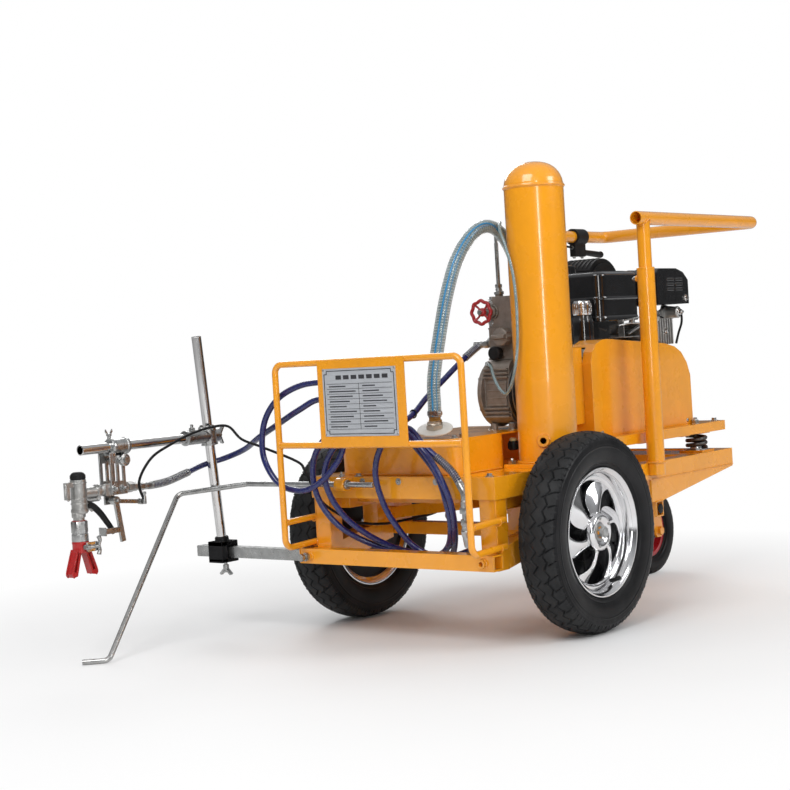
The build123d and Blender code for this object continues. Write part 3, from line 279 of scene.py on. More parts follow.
def spaced(path, gap):
    """Evenly spaced points on a polyline."""
    out, carry = [path[0].copy()], 0.0
    for start, end in zip(path, path[1:]):
        span = (end - start).length
        reach = gap - carry
        while reach <= span:
            out.append(start.lerp(end, reach / span))
            reach += gap
        carry = (carry + span) % gap
    return out


def circle_at(centre, across, up, radius, sides):
    return [centre + across * (radius * cos(2 * pi * k / sides))
            + up * (radius * sin(2 * pi * k / sides)) for k in range(sides)]


def spokes(count, axis, radius=1.0, start=0.0):
    """Offsets of a given length fanned evenly round one of the main axes."""
    first, second = (Y if axis.x else X), (Y if axis.z else Z)
    angles = [2 * pi * k / count + start for k in range(count)]
    return [first * (radius * cos(a)) + second * (radius * sin(a)) for a in angles]


def closed_line(points):
    return points + points[:1]


def circle(centre, radius, axis, count):
    return closed_line([Vector(centre) + out for out in spokes(count, axis, radius)])


# ------------------------------------------------------------------ shapes
# A shell is a tuple (points, faces). Shape functions return a shell or a nested list of shells.
def rings(rows, closed=False, caps=True):
    """Skin over rows of points; closed joins the last row to the first."""
    points = [Vector(p) for row in rows for p in row]
    size, count = len(rows[0]), len(rows)
    faces = []
    for i in range(count if closed else count - 1):
        here, after = i * size, (i + 1) % count * size
        for k in range(size):
            j = (k + 1) % size
            faces.append((here + k, here + j, after + j, after + k))
    if caps and not closed:
        faces += [tuple(reversed(range(size))), tuple(range((count - 1) * size, count * size))]
    return points, faces


def sweep(path, radii, sides):
    return [circle_at(centre, across, up, radius, sides)
            for centre, (_, across, up), radius in zip(path, frames(path), radii)]


def tube(points, radius, sides=12, steps=6):
    """Round bar; radius is a number or a function of the share of the path, 0 to 1."""
    path = curve(points, steps) if steps > 1 else [Vector(p) for p in points]
    last = len(path) - 1
    radii = [radius(i / last) if callable(radius) else radius for i in range(last + 1)]
    return rings(sweep(path, radii, sides))


def hoop(points, radius, sides=10):
    """Round bar through a flat closed line of points."""
    count = len(points)
    points = [Vector(p) for p in points]
    normal = Vector()
    for i in range(count):
        normal += (points[i] - points[0]).cross(points[(i + 1) % count] - points[0])
    normal.normalize()
    rows = []
    for i in range(count):
        tangent = (points[(i + 1) % count] - points[i - 1]).normalized()
        across = tangent.cross(normal).normalized()
        rows.append(circle_at(points[i], across, normal, radius, sides))
    return rings(rows, closed=True)


def coil(path, radius, wire, pitch, sides=7, per_turn=12):
    """Wire wound round a path."""
    path = spaced(path, pitch / per_turn)
    points = []
    for i, (centre, (_, across, up)) in enumerate(zip(path, frames(path))):
        angle = 2 * pi * i / per_turn
        points.append(centre + across * (radius * cos(angle)) + up * (radius * sin(angle)))
    return tube(points, wire, sides, 1)


def turned(start, axis, profile, sides):
    start, axis = Vector(start), Vector(axis).normalized()
    across, up = basis(axis)
    return [circle_at(start + axis * along, across, up, max(radius, 0.02), sides)
            for along, radius in profile]


def solid(start, axis, *profile, sides=40):
    """Turned solid; profile is (distance along axis, radius). The ends run in to the axis."""
    profile = [(profile[0][0], 0), *profile]
    if profile[-1][1]:
        profile.append((profile[-1][0], 0))
    return rings(turned(start, axis, profile, sides))


def collar(start, axis, *profile, sides=40):
    """Turned ring whose profile closes on itself; columns as in solid."""
    return rings(turned(start, axis, profile, sides), closed=True)


def hexagon(start, axis, across, height):
    """Hexagonal nut blank with chamfered corners; across is its width over flats."""
    start, axis = Vector(start), Vector(axis).normalized()
    side, up = basis(axis)
    corner = across / 2 / cos(pi / 6)
    chamfer = min(across * 0.06, height * 0.3)
    rows = []
    for along, cut in ((0, 0.93), (chamfer, 1.0), (height - chamfer, 1.0), (height, 0.90)):
        row = []
        for k in range(24):
            turn = 2 * pi * k / 24
            flat = across / 2 / cos((turn + pi / 6) % (pi / 3) - pi / 6)
            radius = min(flat, corner * cut)
            row.append(start + axis * along + side * (radius * cos(turn))
                       + up * (radius * sin(turn)))
        rows.append(row)
    return rings(rows)


def bolt(start, axis, across, height, stub=0.0, washer=True):
    """Hexagon head, on a washer if wanted, with a thread stub of the given length on top."""
    start, axis = Vector(start), Vector(axis).normalized()
    shells = [hexagon(start + axis * 1.6, axis, across, height)]
    if washer:
        shells.insert(0, solid(start, axis, (0, across * 0.86), (1.2, across * 0.90),
                               (1.8, across * 0.84), sides=28))
    if stub:
        shells.append(solid(
            start + axis * (1.6 + height), axis, (0, across * 0.30), (stub * 0.4, across * 0.26),
            (stub * 0.5, across * 0.30), (stub * 0.85, across * 0.30), (stub, across * 0.2),
            sides=16))
    return shells


def box(x0, x1, y0, y1, z0, z1):
    points = [Vector((x, y, z)) for z in (z0, z1) for y in (y0, y1) for x in (x0, x1)]
    return points, [(0, 2, 3, 1), (4, 5, 7, 6), (0, 1, 5, 4), (2, 6, 7, 3), (0, 4, 6, 2),
                    (1, 3, 7, 5)]


def bar(start, end, width, height, up=Z):
    start, end = Vector(start), Vector(end)
    along = (end - start).normalized()
    side = along.cross(up).normalized() * (width / 2)
    rise = side.cross(along).normalized() * (height / 2)
    return rings([[c + side + rise, c - side + rise, c - side - rise, c + side - rise]
                  for c in (start, end)])


def slab(x0, x1, outline):
    """Plate between x0 and x1; outline is (y, z)."""
    return rings([[(x, y, z) for y, z in outline] for x in (x0, x1)])


def ribs(base, axis, count, height, low, high, radius, sides):
    """Grip ribs round an axis; low and high are their distances from it at each end."""
    base = Vector(base)
    return [tube([base + out * low, base + axis * height + out * high], radius, sides, 2)
            for out in spokes(count, axis)]


def bead(points, radius=2.6, gap=3.4):
    """Rippled weld bead; gap is the ripple pitch."""
    path = spaced([Vector(p) for p in points], gap / 4)
    radii = [radius * (0.78 + 0.22 * abs(sin(pi * i / 4))) for i in range(len(path))]
    return rings(sweep(path, radii, 8))


def tie(centre, radius, wire, count):
    return hoop([Vector(centre) + out for out in spokes(count, Y, radius)], wire, 8)


def each_shell(shapes):
    for item in shapes:
        if isinstance(item, tuple):
            yield item
        else:
            yield from each_shell(item)


def part(name, material, body, *shapes, slot=None, crease=35.0, bevel=0.0, replaces=None):
    """Join shapes into one object.

    body: the moving body it rides; given (body, body, start, end), the part rides neither body and
    stays where it is
    crease: angle (degrees) above which edges stay sharp
    """
    points, faces = [], []
    for shell_points, shell_faces in each_shell(shapes):
        faces += [tuple(len(points) + i for i in face) for face in shell_faces]
        points += shell_points
    mesh = bpy.data.meshes.new(name)
    mesh.from_pydata([(p.x * MM, p.y * MM, p.z * MM) for p in points], [], faces)
    mesh.validate()
    mesh.update()
    made = bpy.data.objects.new(name, mesh)
    scene.collection.objects.link(made)
    work = bmesh.new()
    work.from_mesh(mesh)
    bmesh.ops.recalc_face_normals(work, faces=work.faces)
    work.to_mesh(mesh)
    work.free()
    mesh.polygons.foreach_set("use_smooth", [True] * len(mesh.polygons))
    mesh.set_sharp_from_angle(angle=radians(crease))
    mesh.materials.append(MATERIALS[material])
    if bevel:
        rounding = made.modifiers.new("soft_edge", "BEVEL")
        rounding.width = bevel * MM
        rounding.segments = 2
        rounding.limit_method = "ANGLE"
        rounding.angle_limit = radians(40)
    if isinstance(body, str):
        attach(made, body)
    else:
        first, second, start, end = body
        tuple(c * MM for c in start)
        tuple(c * MM for c in end)
        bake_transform(made)
    if replaces:
        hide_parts(replaces)
    return made


# ------------------------------------------------------------------ tyres
def wheel_point(centre, x, radius, angle):
    """Point at an angle from the top of a wheel, x measured from its middle plane."""
    return Vector((centre[0] + x, centre[1] - radius * sin(angle),
                   centre[2] + radius * cos(angle)))


def zigzag(turns):
    return 1 - 4 * abs(turns % 1.0 - 0.5)


def fade(low, high, value):
    t = max(0.0, min(1.0, (value - low) / (high - low)))
    return t * t * (3 - 2 * t)


def near(inner, outer, distance):
    return 1 - fade(inner, outer, distance)


def from_middle(turns, pitch):
    """Distance from the middle of the current pitch."""
    return abs(turns % 1.0 - 0.5) * pitch


def block_tread(x, along, pitch, width):
    """Relief of staggered blocks between two grooves."""
    turns = along / pitch + (0.5 if abs(x) / width > 0.2 else 0.0)
    return -4.0 * max(near(1.6, 2.8, from_middle(turns, pitch)),
                      near(1.4, 2.6, abs(abs(x) - 0.19 * width)))


def road_tread(x, along, pitch, width):
    """Relief of zigzag grooves, slanted cross cuts and notched shoulders."""
    share = abs(x) / width
    middle = near(0.7, 1.7, abs(x - 0.12 * width * 0.62 * zigzag(along / pitch)))
    outer = near(0.9, 1.9, abs(abs(x) - (0.255 * width + 4.2 * zigzag(along / pitch + 0.25))))
    turns = (along + abs(x) * 0.55) / pitch + (0.5 if x > 0 else 0)
    cross = near(0.8, 1.8, from_middle(turns, pitch))
    cross *= fade(0.30, 0.34, share) if int(turns) % 2 else fade(0.10, 0.16, share)
    relief = -3.6 * max(middle, outer, cross * near(0.455, 0.49, share))
    if share > 0.40:
        relief += 0.9 * near(1.2, 2.4, from_middle(along / pitch * 2, pitch) / 2)
    return relief


# Raised sidewall lines: height share, width share, relief
SIDEWALL_LINES = ((0.16, 0.018, 1.3), (0.24, 0.010, 0.7), (0.62, 0.010, 0.8), (0.76, 0.012, 1.0))


def sidewall(height, along):
    relief = sum(rise * near(width * 0.5, width * 1.3, abs(height - middle))
                 for middle, width, rise in SIDEWALL_LINES)
    if 0.66 < height < 0.74:
        relief += 0.5 * near(0.8, 1.8, from_middle(along / 5.2, 5.2))
    return relief


def tyre(node_name, centre, body, width, bead_radius, lip, lugs, tread, spacing, around):
    """Tyre resting on the floor; lip is the half width at the bead."""
    radius = centre[2]
    wall = radius - bead_radius
    # x, radius from the lip to the crown
    half = [(-lip + 0.4, bead_radius - 0.5), (-lip + 0.3, bead_radius + 0.05 * wall),
            (-lip + 0.2, bead_radius + 0.13 * wall), (-0.45 * width, bead_radius + 0.27 * wall),
            (-0.495 * width, bead_radius + 0.5 * wall), (-0.49 * width, bead_radius + 0.70 * wall),
            (-0.455 * width, bead_radius + 0.84 * wall),
            (-0.40 * width, bead_radius + 0.905 * wall),
            (-0.28 * width, bead_radius + 0.958 * wall),
            (-0.14 * width, bead_radius + 0.988 * wall), (0, radius)]
    whole = [(x, r, 0) for x, r in half] + [(-x, r, 0) for x, r in half[-2::-1]]
    outer = spaced(curve(whole, 8), spacing)
    outer[-1] = Vector((lip - 0.4, bead_radius - 0.5, 0))
    inner = [(lip - 6, bead_radius - 0.5), (0.36 * width, bead_radius + 0.3 * wall),
             (0, bead_radius + 0.6 * wall), (-0.36 * width, bead_radius + 0.3 * wall),
             (-lip + 6, bead_radius - 0.5)]
    pitch = 2 * pi * radius / lugs
    normals = [Vector((-tangent.y, tangent.x, 0)).normalized() for tangent in
               (outer[min(i + 1, len(outer) - 1)] - outer[max(i - 1, 0)]
                for i in range(len(outer)))]
    rows = []
    for i in range(around):
        angle = 2 * pi * i / around
        along = angle * radius
        row = []
        for point, normal in zip(outer, normals):
            height = (point.y - bead_radius) / wall
            relief = 0.0
            if height > 0.80:
                relief = tread(point.x, along, pitch, width)
            elif height > 0.10:
                relief = sidewall(height, along)
            moved = point + normal * relief
            row.append(wheel_point(centre, moved.x, moved.y, angle))
        rows.append(row + [wheel_point(centre, x, r, angle) for x, r in inner])
    made = part(node_name + "_body", "tyre_rubber", body, rings(rows, closed=True), crease=38,
                replaces=node_name)
    made.data.materials.append(MATERIALS["tyre_tread"])
    tread_radius = (bead_radius + 0.845 * wall) * MM
    for polygon in made.data.polygons:
        middle = polygon.center
        if math.hypot(middle.y - centre[1] * MM, middle.z - centre[2] * MM) > tread_radius:
            polygon.material_index = 1


for side, hand in ((1, "left"), (-1, "right")):
    tyre("tyre_" + hand, (side * WHEEL_X, 0, WHEEL_Z), "wheel_" + hand, width=93,
         bead_radius=127, lip=32, lugs=44, tread=road_tread, spacing=1.7, around=720)
tyre("caster_tyre", CASTER, "caster_wheel", width=62, bead_radius=62, lip=17, lugs=30,
     tread=block_tread, spacing=1.5, around=420)

# ------------------------------------------------------------------ wheels
# Turned profiles: distance outward from the wheel's middle plane, radius
BARREL = ((36, 138), (38, 137), (38, 134.5), (34, 130.5), (31, 126), (24, 123.5), (17, 121.5),
          (9, 121), (-28, 121), (-33, 128), (-36, 134), (-36, 138), (-33, 139), (-31, 127.5),
          (31, 127.5), (33, 139))
SPOKE_RING = ((14, 121.5), (15, 115), (13, 111), (8, 109), (2, 109), (0, 121.5))
HUB = ((26, 18), (27, 20), (31, 23), (33, 27), (34, 34), (32, 38), (27, 40.5), (10, 41.5),
       (0, 40), (-8, 30), (-30, 27), (-34, 25), (-34, 16), (-20, 15), (18, 15))
DRUM = ((-20, 28), (-20, 60), (-16, 64), (-14, 96), (-18, 104), (-18, 120.6), (-22, 120.6),
        (-23, 100), (-24, 62), (-24, 28))


def swirl_spoke(centre, side, start_angle):
    """Curved, twisted blade from the hub out to the spoke ring."""
    rows, long_steps, cross_steps = [], 22, 12
    for i in range(long_steps + 1):
        reach = i / long_steps
        radius = 38 + reach * 73
        half_angle = (11.0 + 14.0 * reach + 2.0 * sin(pi * reach)) / radius
        middle = start_angle - 0.50 * reach + 0.14 * sin(pi * reach)
        front, back = [], []
        for j in range(cross_steps + 1):
            across = -1 + 2 * j / cross_steps
            angle = middle + across * half_angle
            tilt = 8.0 * sin(across * 1.25) * sin(pi * (0.15 + 0.8 * reach))
            x = 7 + 12 * (1 - reach) ** 1.5 - tilt + 4.0 * (1 - across * across)
            front.append(wheel_point(centre, side * x, radius, angle))
            back.append(wheel_point(centre, side * (x - 7 - 2 * (1 - abs(across))), radius,
                                    angle))
        rows.append(front + back[::-1])
    return rings(rows)


def wheel(side, hand):
    body, centre, outward = "wheel_" + hand, (side * WHEEL_X, 0, WHEEL_Z), X * side
    part(body + "_alloy", "polished_alloy", body,
         collar(centre, outward, *BARREL, sides=120),
         collar(centre, outward, *SPOKE_RING, sides=120),
         collar(centre, outward, *HUB, sides=96),
         [swirl_spoke(centre, side, 2 * pi * i / 6) for i in range(6)],
         crease=42, replaces="rim_" + hand)
    part(body + "_drum", "black_paint", body,
         collar(centre, outward, *DRUM, sides=96),
         [bar(wheel_point(centre, -side * 17, 44, 2 * pi * i / 10),
              wheel_point(centre, -side * 15, 112, 2 * pi * i / 10), 5, 5, X)
          for i in range(10)],
         slot="polished_alloy")
    part(body + "_valve", "black_rubber", body,
         tube([wheel_point(centre, side * x, radius, radians(200))
               for x, radius in ((22, 116), (36, 113), (47, 108))],
              lambda share: 4.2 if share < 0.75 else 4.9, 12, 4))
    part(body + "_hub_screws", "zinc_steel", body,
         [bolt(wheel_point(centre, side * 31.5, 31, 2 * pi * i / 5 + 0.2), outward, 6, 2.5,
               washer=False) for i in range(5)])


wheel(1, "left")
wheel(-1, "right")
part("caster_rim_bolts", "zinc_steel", "caster_wheel",
     [bolt(wheel_point(CASTER, side * 4.5, 38, 2 * pi * i / 6), X * side, 8, 4)
      for i in range(6) for side in SIDES])
part("caster_hub_seals", "black_rubber", "caster_wheel",
     [collar((side * 31, *CASTER[1:]), X * side, (-8, 12), (-8, 19), (-1, 19), (0, 17), (0, 12))
      for side in SIDES])

# ------------------------------------------------------------------ blue hose and black cable
# Centre-line stations: x, y, z
NEAR_HOSE = [
    (12, 83.2, 625.6), (0, 76, 621), (-11, 20, 588), (-30, -20, 552), (-42, -70, 516),
    (-44, -120, 482), (-40, -180, 462), (-20, -232, 462), (30, -258, 452), (90, -262, 400),
    (123, -262, 357), (141, -262, 304), (138, -248, 252), (108, -222, 206), (60, -205, 184),
    (10, -214, 204), (-18, -246, 262), (-32, -262, 312), (-36, -272, 372), (-6, -276, 430),
    (60, -278, 462), (112, -282, 420), (176, -284, 372), (206, -286, 330)]
FAR_HOSE = [
    (206, -286, 240), (202, -276, 224), (188, -246, 212), (150, -212, 196), (60, -170, 176),
    (-40, -176, 180), (-110, -214, 206), (-160, -262, 252), (-196, -284, 320),
    (-192, -290, 400), (-130, -293, 460), (-40, -294, 486), (60, -296, 462), (130, -298, 400),
    (165, -290, 330), (158, -262, 270), (120, -215, 206), (50, -150, 178), (-40, -160, 182),
    (-90, -214, 214), (-132, -268, 270), (-156, -296, 340), (-140, -304, 400),
    (-80, -309, 452), (0, -311, 480), (60, -312, 520), (40, -313, 556), (-60, -313, 566),
    (-136, -313, 566), (-200, -313, 560), (-262, -314, 536), (-304, -314, 495),
    (-320, -315, 446), (-316, -315, 397), (-284, -314, 351), (-238, -313, 333),
    (-186, -312, 337), (-130, -310, 372), (-96, -303, 424), (-112, -301, 486),
    (-150, -304, 528), (-214, -308, 506), (-292, -296, 474), (-372, -270, 446),
    (-450, -236, 418), (-512, -238, 398), (-540, -284, 386), (-532, -350, 373),
    (-518, -420, 362), (-512, -468, 359), (-512, -499, 359.6)]
CABLE = [
    (-498, -512, 328), (-492, -530, 372), (-488, -494, 420), (-480, -440, 446),
    (-478, -380, 464), (-476, -320, 474), (-452, -286, 474), (-402, -296, 445),
    (-342, -296, 427), (-262, -270, 392), (-232, -278, 372), (-214, -272, 330),
    (-188, -262, 292), (-170, -190, 250), (-154, -110, 236), (-150, -40, 236),
    (-150, 60, 238), (-150, 150, 252), (-156, 330, 262), (-188, 392, 262), (-232, 410, 268),
    (-238, 450, 292), (-240, 520, 302), (-246, 580, 312), (-248, 590, 350), (-246, 592, 420),
    (-246, 592, 640), (-248, 594, 800), (-256, 612, 858), (-254, 660, 876), (-240, 720, 877),
    (-232, 790, 876), (-229, 855, 870)]
HOSE_RADIUS = 6.7


def cut_hose(prefix, stations, radius, material, cuts, replaces=None, sides=14):
    """One smooth hose in pieces; cuts are (last station, body or the two bodies of a joint)."""
    steps = 6
    path = curve(stations, steps)
    rows = sweep(path, [radius] * len(path), sides)
    start = 0
    for i, (last_station, body) in enumerate(cuts):
        end = last_station * steps
        if isinstance(body, tuple):
            body = (*body, path[start].lerp(path[end], 0.12), path[start].lerp(path[end], 0.88))
        part(f"{prefix}_{i}", material, body, rings(rows[start:end + 1]), crease=60,
             replaces=None if i else replaces)
        start = end


cut_hose("hose_near", NEAR_HOSE, HOSE_RADIUS, "blue_hose", [(len(NEAR_HOSE) - 1, "chassis")],
         "pressure_hose")
cut_hose("hose_far", FAR_HOSE, HOSE_RADIUS, "blue_hose", [
    (41, "chassis"), (42, ("chassis", "gun_bar")), (43, ("gun_bar", "pole_clamp")),
    (44, ("pole_clamp", "gun_pole")), (46, ("gun_pole", "cross_clamp")),
    (47, ("cross_clamp", "gun_arm")), (48, ("gun_arm", "gun_carriage")),
    (len(FAR_HOSE) - 1, "gun_carriage")])
cut_hose("cable", CABLE, 3, "black_rubber", [
    (2, "gun_carriage"), (3, ("gun_carriage", "gun_arm")), (4, ("gun_arm", "cross_clamp")),
    (6, ("cross_clamp", "gun_pole")), (7, ("gun_pole", "pole_clamp")),
    (8, ("pole_clamp", "gun_bar")), (9, ("gun_bar", "chassis")), (26, "chassis"),
    (27, ("chassis", "handle")), (len(CABLE) - 1, "handle")], "control_cable", sides=10)


def end_fitting(name, start, axis, body, path):
    """Swaged ferrule, swivel nut and wire spring guard."""
    part(name + "_ferrule", "zinc_steel", body,
         solid(start, axis, (-2, 6.4), (0, 8.2), (18, 8.6), (19, 8.0), (20.5, 8.4), (22, 8.0),
               (24, 8.4), (25, 6.6), sides=32),
         hexagon(start - axis.normalized() * 14, axis, 17, 13))
    part(name + "_spring", "zinc_steel", body, coil(path, 8.0, 1.0, 4.6), crease=80)


near_path, far_path = curve(NEAR_HOSE, 8), curve(FAR_HOSE, 8)
end_fitting("hose_pump_end", near_path[0], near_path[3] - near_path[0], "chassis",
            near_path[3:15])
end_fitting("hose_mid_up", near_path[-1], near_path[-4] - near_path[-1], "chassis",
            near_path[-14:-2])
end_fitting("hose_mid_low", far_path[0], far_path[3] - far_path[0], "chassis", far_path[1:14])
end_fitting("hose_gun_end", far_path[-1], far_path[-7] - far_path[-1], "gun_carriage",
            far_path[-26:-5][::-1])
part("hose_coupling", "zinc_steel", "chassis",
     solid((206, -286, 232), Z, (0, 6), (4, 7), (18, 7), (20, 8.5), (34, 8.5), (36, 6.5),
           (60, 6.5), (62, 8.5), (78, 8.5), (80, 7), (98, 7), (104, 0), sides=36),
     hexagon((206, -286, 262), Z, 19, 12),
     hexagon((206, -286, 286), Z, 21, 12))
part("hose_ties", "black_rubber", "chassis",
     [tie(near_path[int(len(near_path) * share)], 9, 1.4, 20) for share in (0.22, 0.5)])

# ------------------------------------------------------------------ suction line
SUCTION = [(37.5, -149, 475.5), (37, -147, 500), (36, -142, 560), (50, -128, 660),
           (62, -112, 740), (74, -86, 812), (88, -46, 865), (98, 0, 884), (103, 45, 868),
           (101, 88, 825), (98, 110, 780), (98, 110, 758)]
BLEED = [(62, 92, 858), (80, 70, 880), (120, 20, 890), (146, -20, 872), (168, -34, 835),
         (186, -37, 770), (191, -38, 691), (186, -38, 609), (168, -34, 548), (140, -20, 516),
         (112, -6, 526), (88, 8, 552), (70, 24, 575), (52, 36, 580)]
suction_path = curve(SUCTION, 12)
CLEAR = {"slot": "clear_hose", "crease": 80}
part("suction_hose_wall", "clear_hose", "chassis", tube(SUCTION, 14.5, 28, 12), crease=80,
     replaces="suction_hose")
part("suction_hose_core", "hose_core", "chassis", tube(SUCTION, 10.4, 20, 12), **CLEAR)
part("suction_hose_spiral", "white_plastic", "chassis",
     coil(suction_path, 12.2, 0.85, 6.2, 6, 14), **CLEAR)


def stripe(toward, radius):
    """Line along the suction hose, on the side that faces a direction."""
    line = []
    for centre, (tangent, _, _) in zip(suction_path, frames(suction_path)):
        out = (toward - tangent * toward.dot(tangent)).normalized()
        line.append(centre + out * 13.1)
    return tube(line, radius, 8, 1)


part("suction_hose_stripe_0", "hose_stripe", "chassis",
     stripe(Vector((0.35, -0.94, 0.12)), 2.2), **CLEAR)
part("suction_hose_stripe_1", "hose_stripe", "chassis",
     stripe(Vector((0.90, -0.44, 0.12)), 1.2), **CLEAR)


def hose_clip(x, y, z, axis):
    """Band with a side lug and screw."""
    return [collar((x, y, z), axis, (-5, 14.6), (-5, 16.0), (5, 16.0), (5, 14.6), sides=48),
            box(x + 10, x + 24, y - 20, y - 9, z - 6, z + 6),
            solid((x + 24, y - 14.5, z), X, (0, 4.4), (5, 4.4), (6, 3.2), sides=18)]


part("suction_hose_clips", "zinc_steel", "chassis",
     hose_clip(98, 110, 768, Z), hose_clip(37.3, -148.4, 484, (0, 0.05, 1)), bevel=0.5)
part("suction_inlet_union", "strainer_steel", "chassis",
     hexagon((98, 110, 737), Z, 33, 12),
     solid((98, 110, 731), Z, (0, 18), (5, 18), (6, 15.4), (24, 15.2), (26, 13)))
DISC = Vector((37, -150, 449.5))
DISC_AXIS = Vector((0.16, -0.30, 0.94)).normalized()
part("suction_disc", "white_plastic", "chassis",
     solid(DISC, DISC_AXIS, (-2.6, 36), (-1.6, 38.4), (0, 39.2), (1.8, 38.4), (2.6, 36),
           (3.0, 22), (3.4, 20), sides=72),
     slot="strainer_steel", replaces="suction_strainer")
part("suction_foot_nut", "strainer_steel", "chassis",
     hexagon(DISC + DISC_AXIS * 3, DISC_AXIS, 34, 10),
     solid(DISC + DISC_AXIS * 13, DISC_AXIS, (0, 15), (3, 16), (5, 13.5), (8, 13.5), (9, 0)))
part("suction_foot_adapter", "amber", "chassis",
     solid((37.4, -149.3, 460), (0, 0.02, 1), (0, 13), (3, 15.5), (9, 15.5), (11, 13),
           (18, 12.4), (22, 13.6), (24, 12)), slot="strainer_steel")
part("bleed_tube_wall", "clear_hose", "chassis", tube(BLEED, 3.6, 14, 8), crease=80,
     replaces="bleed_tube")
part("bleed_tube_core", "hose_core", "chassis", tube(BLEED, 2.3, 8, 8), **CLEAR)
part("support_rod_top", "zinc_steel", "chassis",
     tube([(50, 100, 852), (50, 99, 866), (54, 96, 872), (62, 92, 868), (64, 91, 858)], 3.4,
          12, 5),
     solid((50, 100, 736), Z, (0, 11), (6, 11), (8, 8), (14, 7), (15, 0), sides=32),
     hexagon((50, 100, 751), Z, 15, 8))

# ------------------------------------------------------------------ isolator springs
SPRING_LOW, SPRING_HIGH, SPRING_TURNS, SPRING_STEPS = 329.8, 361.2, 2.6, 72


def isolator(x, y):
    line = []
    for i in range(SPRING_STEPS + 1):
        share = i / SPRING_STEPS
        angle = 2 * pi * SPRING_TURNS * share
        line.append((x + 23 * cos(angle), y + 23 * sin(angle),
                     SPRING_LOW + (SPRING_HIGH - SPRING_LOW) * share))
    part(f"isolator_spring_{'l' if x > 0 else 'r'}{y}", "spring_steel",
         ("chassis", "platform", (x, y, 331), (x, y, 361)), tube(line, 5, 14, 1), crease=80,
         replaces="isolator_springs" if (x, y) == MOUNTS[0] else None)


for x, y in MOUNTS:
    isolator(x, y)
part("spring_seats", "zinc_steel", "chassis",
     [[solid((x, y, 325), Z, (0, 30), (1.5, 30), (3, 28), (3, 17), (10, 16), (11, 14),
             sides=48),
       bolt((x, y, 336), Z, 13, 6)] for x, y in MOUNTS])
part("platform_bolts", "zinc_steel", "platform",
     [bolt((x, y, 390), Z, 17, 9, 6) for x, y in MOUNTS],
     [bolt((x, y, 392), Z, 12, 6) for x, y in (
         (-178, 290), (178, 290), (-178, 842), (178, 842), (-120, 460), (-120, 660),
         (84, 842), (-60, 842))])

# ------------------------------------------------------------------ handwheel, knobs and pump
WHEEL_HUB = Vector((45, 0, 697))
part("handwheel_rim", "red_paint", "handwheel",
     hoop([WHEEL_HUB + Y * 34 + out * (25.2 + 1.3 * cos(8 * 2 * pi * i / 96))
           for i, out in enumerate(spokes(96, Y))], 4.0, 14),
     [tube([WHEEL_HUB + Y * y + out * reach for reach, y in ((6, 36), (15, 38), (25, 34))],
           lambda share: 3.6 - 1.2 * sin(pi * share), 12, 5)
      for out in spokes(4, Y, start=pi / 4)],
     solid((45, 42, 697), -Y, (0, 9), (3, 10), (10, 9), (12, 6), sides=36),
     crease=60, replaces="pressure_handwheel")
part("handwheel_spindle", "zinc_steel", "handwheel",
     solid((45, 30, 697), Y, (0, 3), (1, 4), (14, 4.6), (46, 4.6), (48, 3.6), sides=24),
     hexagon((45, 30.5, 697), -Y, 10, 5),
     solid((45, 60, 697), Y, (0, 9), (2, 10), (9, 10), (11, 8), sides=32))
part("pressure_gland", "cast_alloy", "chassis",
     hexagon((45, 78, 697), -Y, 25, 10),
     collar((45, 78, 697), -Y, (0, 15), (0, 17), (4, 17), (5, 15), sides=36))
part("prime_knob_grip", "cast_alloy", "prime_knob",
     solid((79, 51, 640), Y, (0, 17), (1.5, 19.6), (20, 20.4), (23, 18.5), sides=60),
     ribs((79, 53, 640), Y, 12, 18, 19.8, 20.4, 1.5, 8),
     rings([[(61.5, y, 640 - h), (96.5, y, 640 - h), (96.5, y, 640 + h), (61.5, y, 640 + h)]
            for y, h in ((52, 5.5), (44, 5.0), (41, 3.6))]),
     solid((79, 70, 640), Y, (0, 6), (19, 5.8), sides=20),
     slot="prime_knob" if "prime_knob" in SLOTS else "cast_alloy", bevel=0.8,
     replaces="prime_knob")
PUMP_FRONT = Vector((22, 110, 513))  # centre of the round cover on the -X side
part("pump_bolts", "zinc_steel", "chassis",
     [bolt((x, y, z), Z, 10, 6) for x, z in ((40, 724), (116, 731)) for y in (84, 136)],
     [bolt((x, 78, z), -Y, 8, 4) for z in (672, 716) for x in (40, 114)],
     [bolt((122, y, z), X, 8, 4) for y in (84, 134) for z in (606, 648)],
     [bolt((x, y, 432), Z, 12, 6) for x in (38, 94) for y in (62, 158)],
     [bolt(PUMP_FRONT + out, -X, 8, 3) for out in spokes(6, X, 66)])
UNION_AXIS = (-0.905, -0.38, -0.19)
part("pump_castings", "cast_alloy", "chassis",
     box(30, 125, 73, 149, 588.5, 593),
     box(31.5, 123.5, 75, 147.5, 658, 661.5),
     solid(PUMP_FRONT, -X, (0, 50), (3, 48), (4, 42), (4, 20), (7, 18), (8, 12), sides=80),
     [bar(PUMP_FRONT - X * 1.5 + out * 22, PUMP_FRONT - X * 1.5 + out * 70, 4, 4, X)
      for out in spokes(8, X)],
     [box(40, 92, 45.2, 47.5, z, z + 3) for z in (486, 502, 518, 534)],
     solid((33, 92, 630), UNION_AXIS, (0, 11), (4, 11), (5, 8.5), (20, 8.5), sides=28),
     bevel=0.8)
part("pump_black_cap", "black_plastic", "chassis",
     solid((60, 78, 604), -Y, (0, 13.8), (16, 14.2), (18, 15.5), (26, 15.5), (29, 13),
           (30, 0)))
part("pump_unions", "zinc_steel", "chassis",
     hexagon((30, 90.7, 629.3), UNION_AXIS, 20, 9),
     solid((52, 38, 580), (0.2, -0.5, 0.1), (-14, 6), (0, 6), (2, 4.8), (8, 4.8), sides=20))
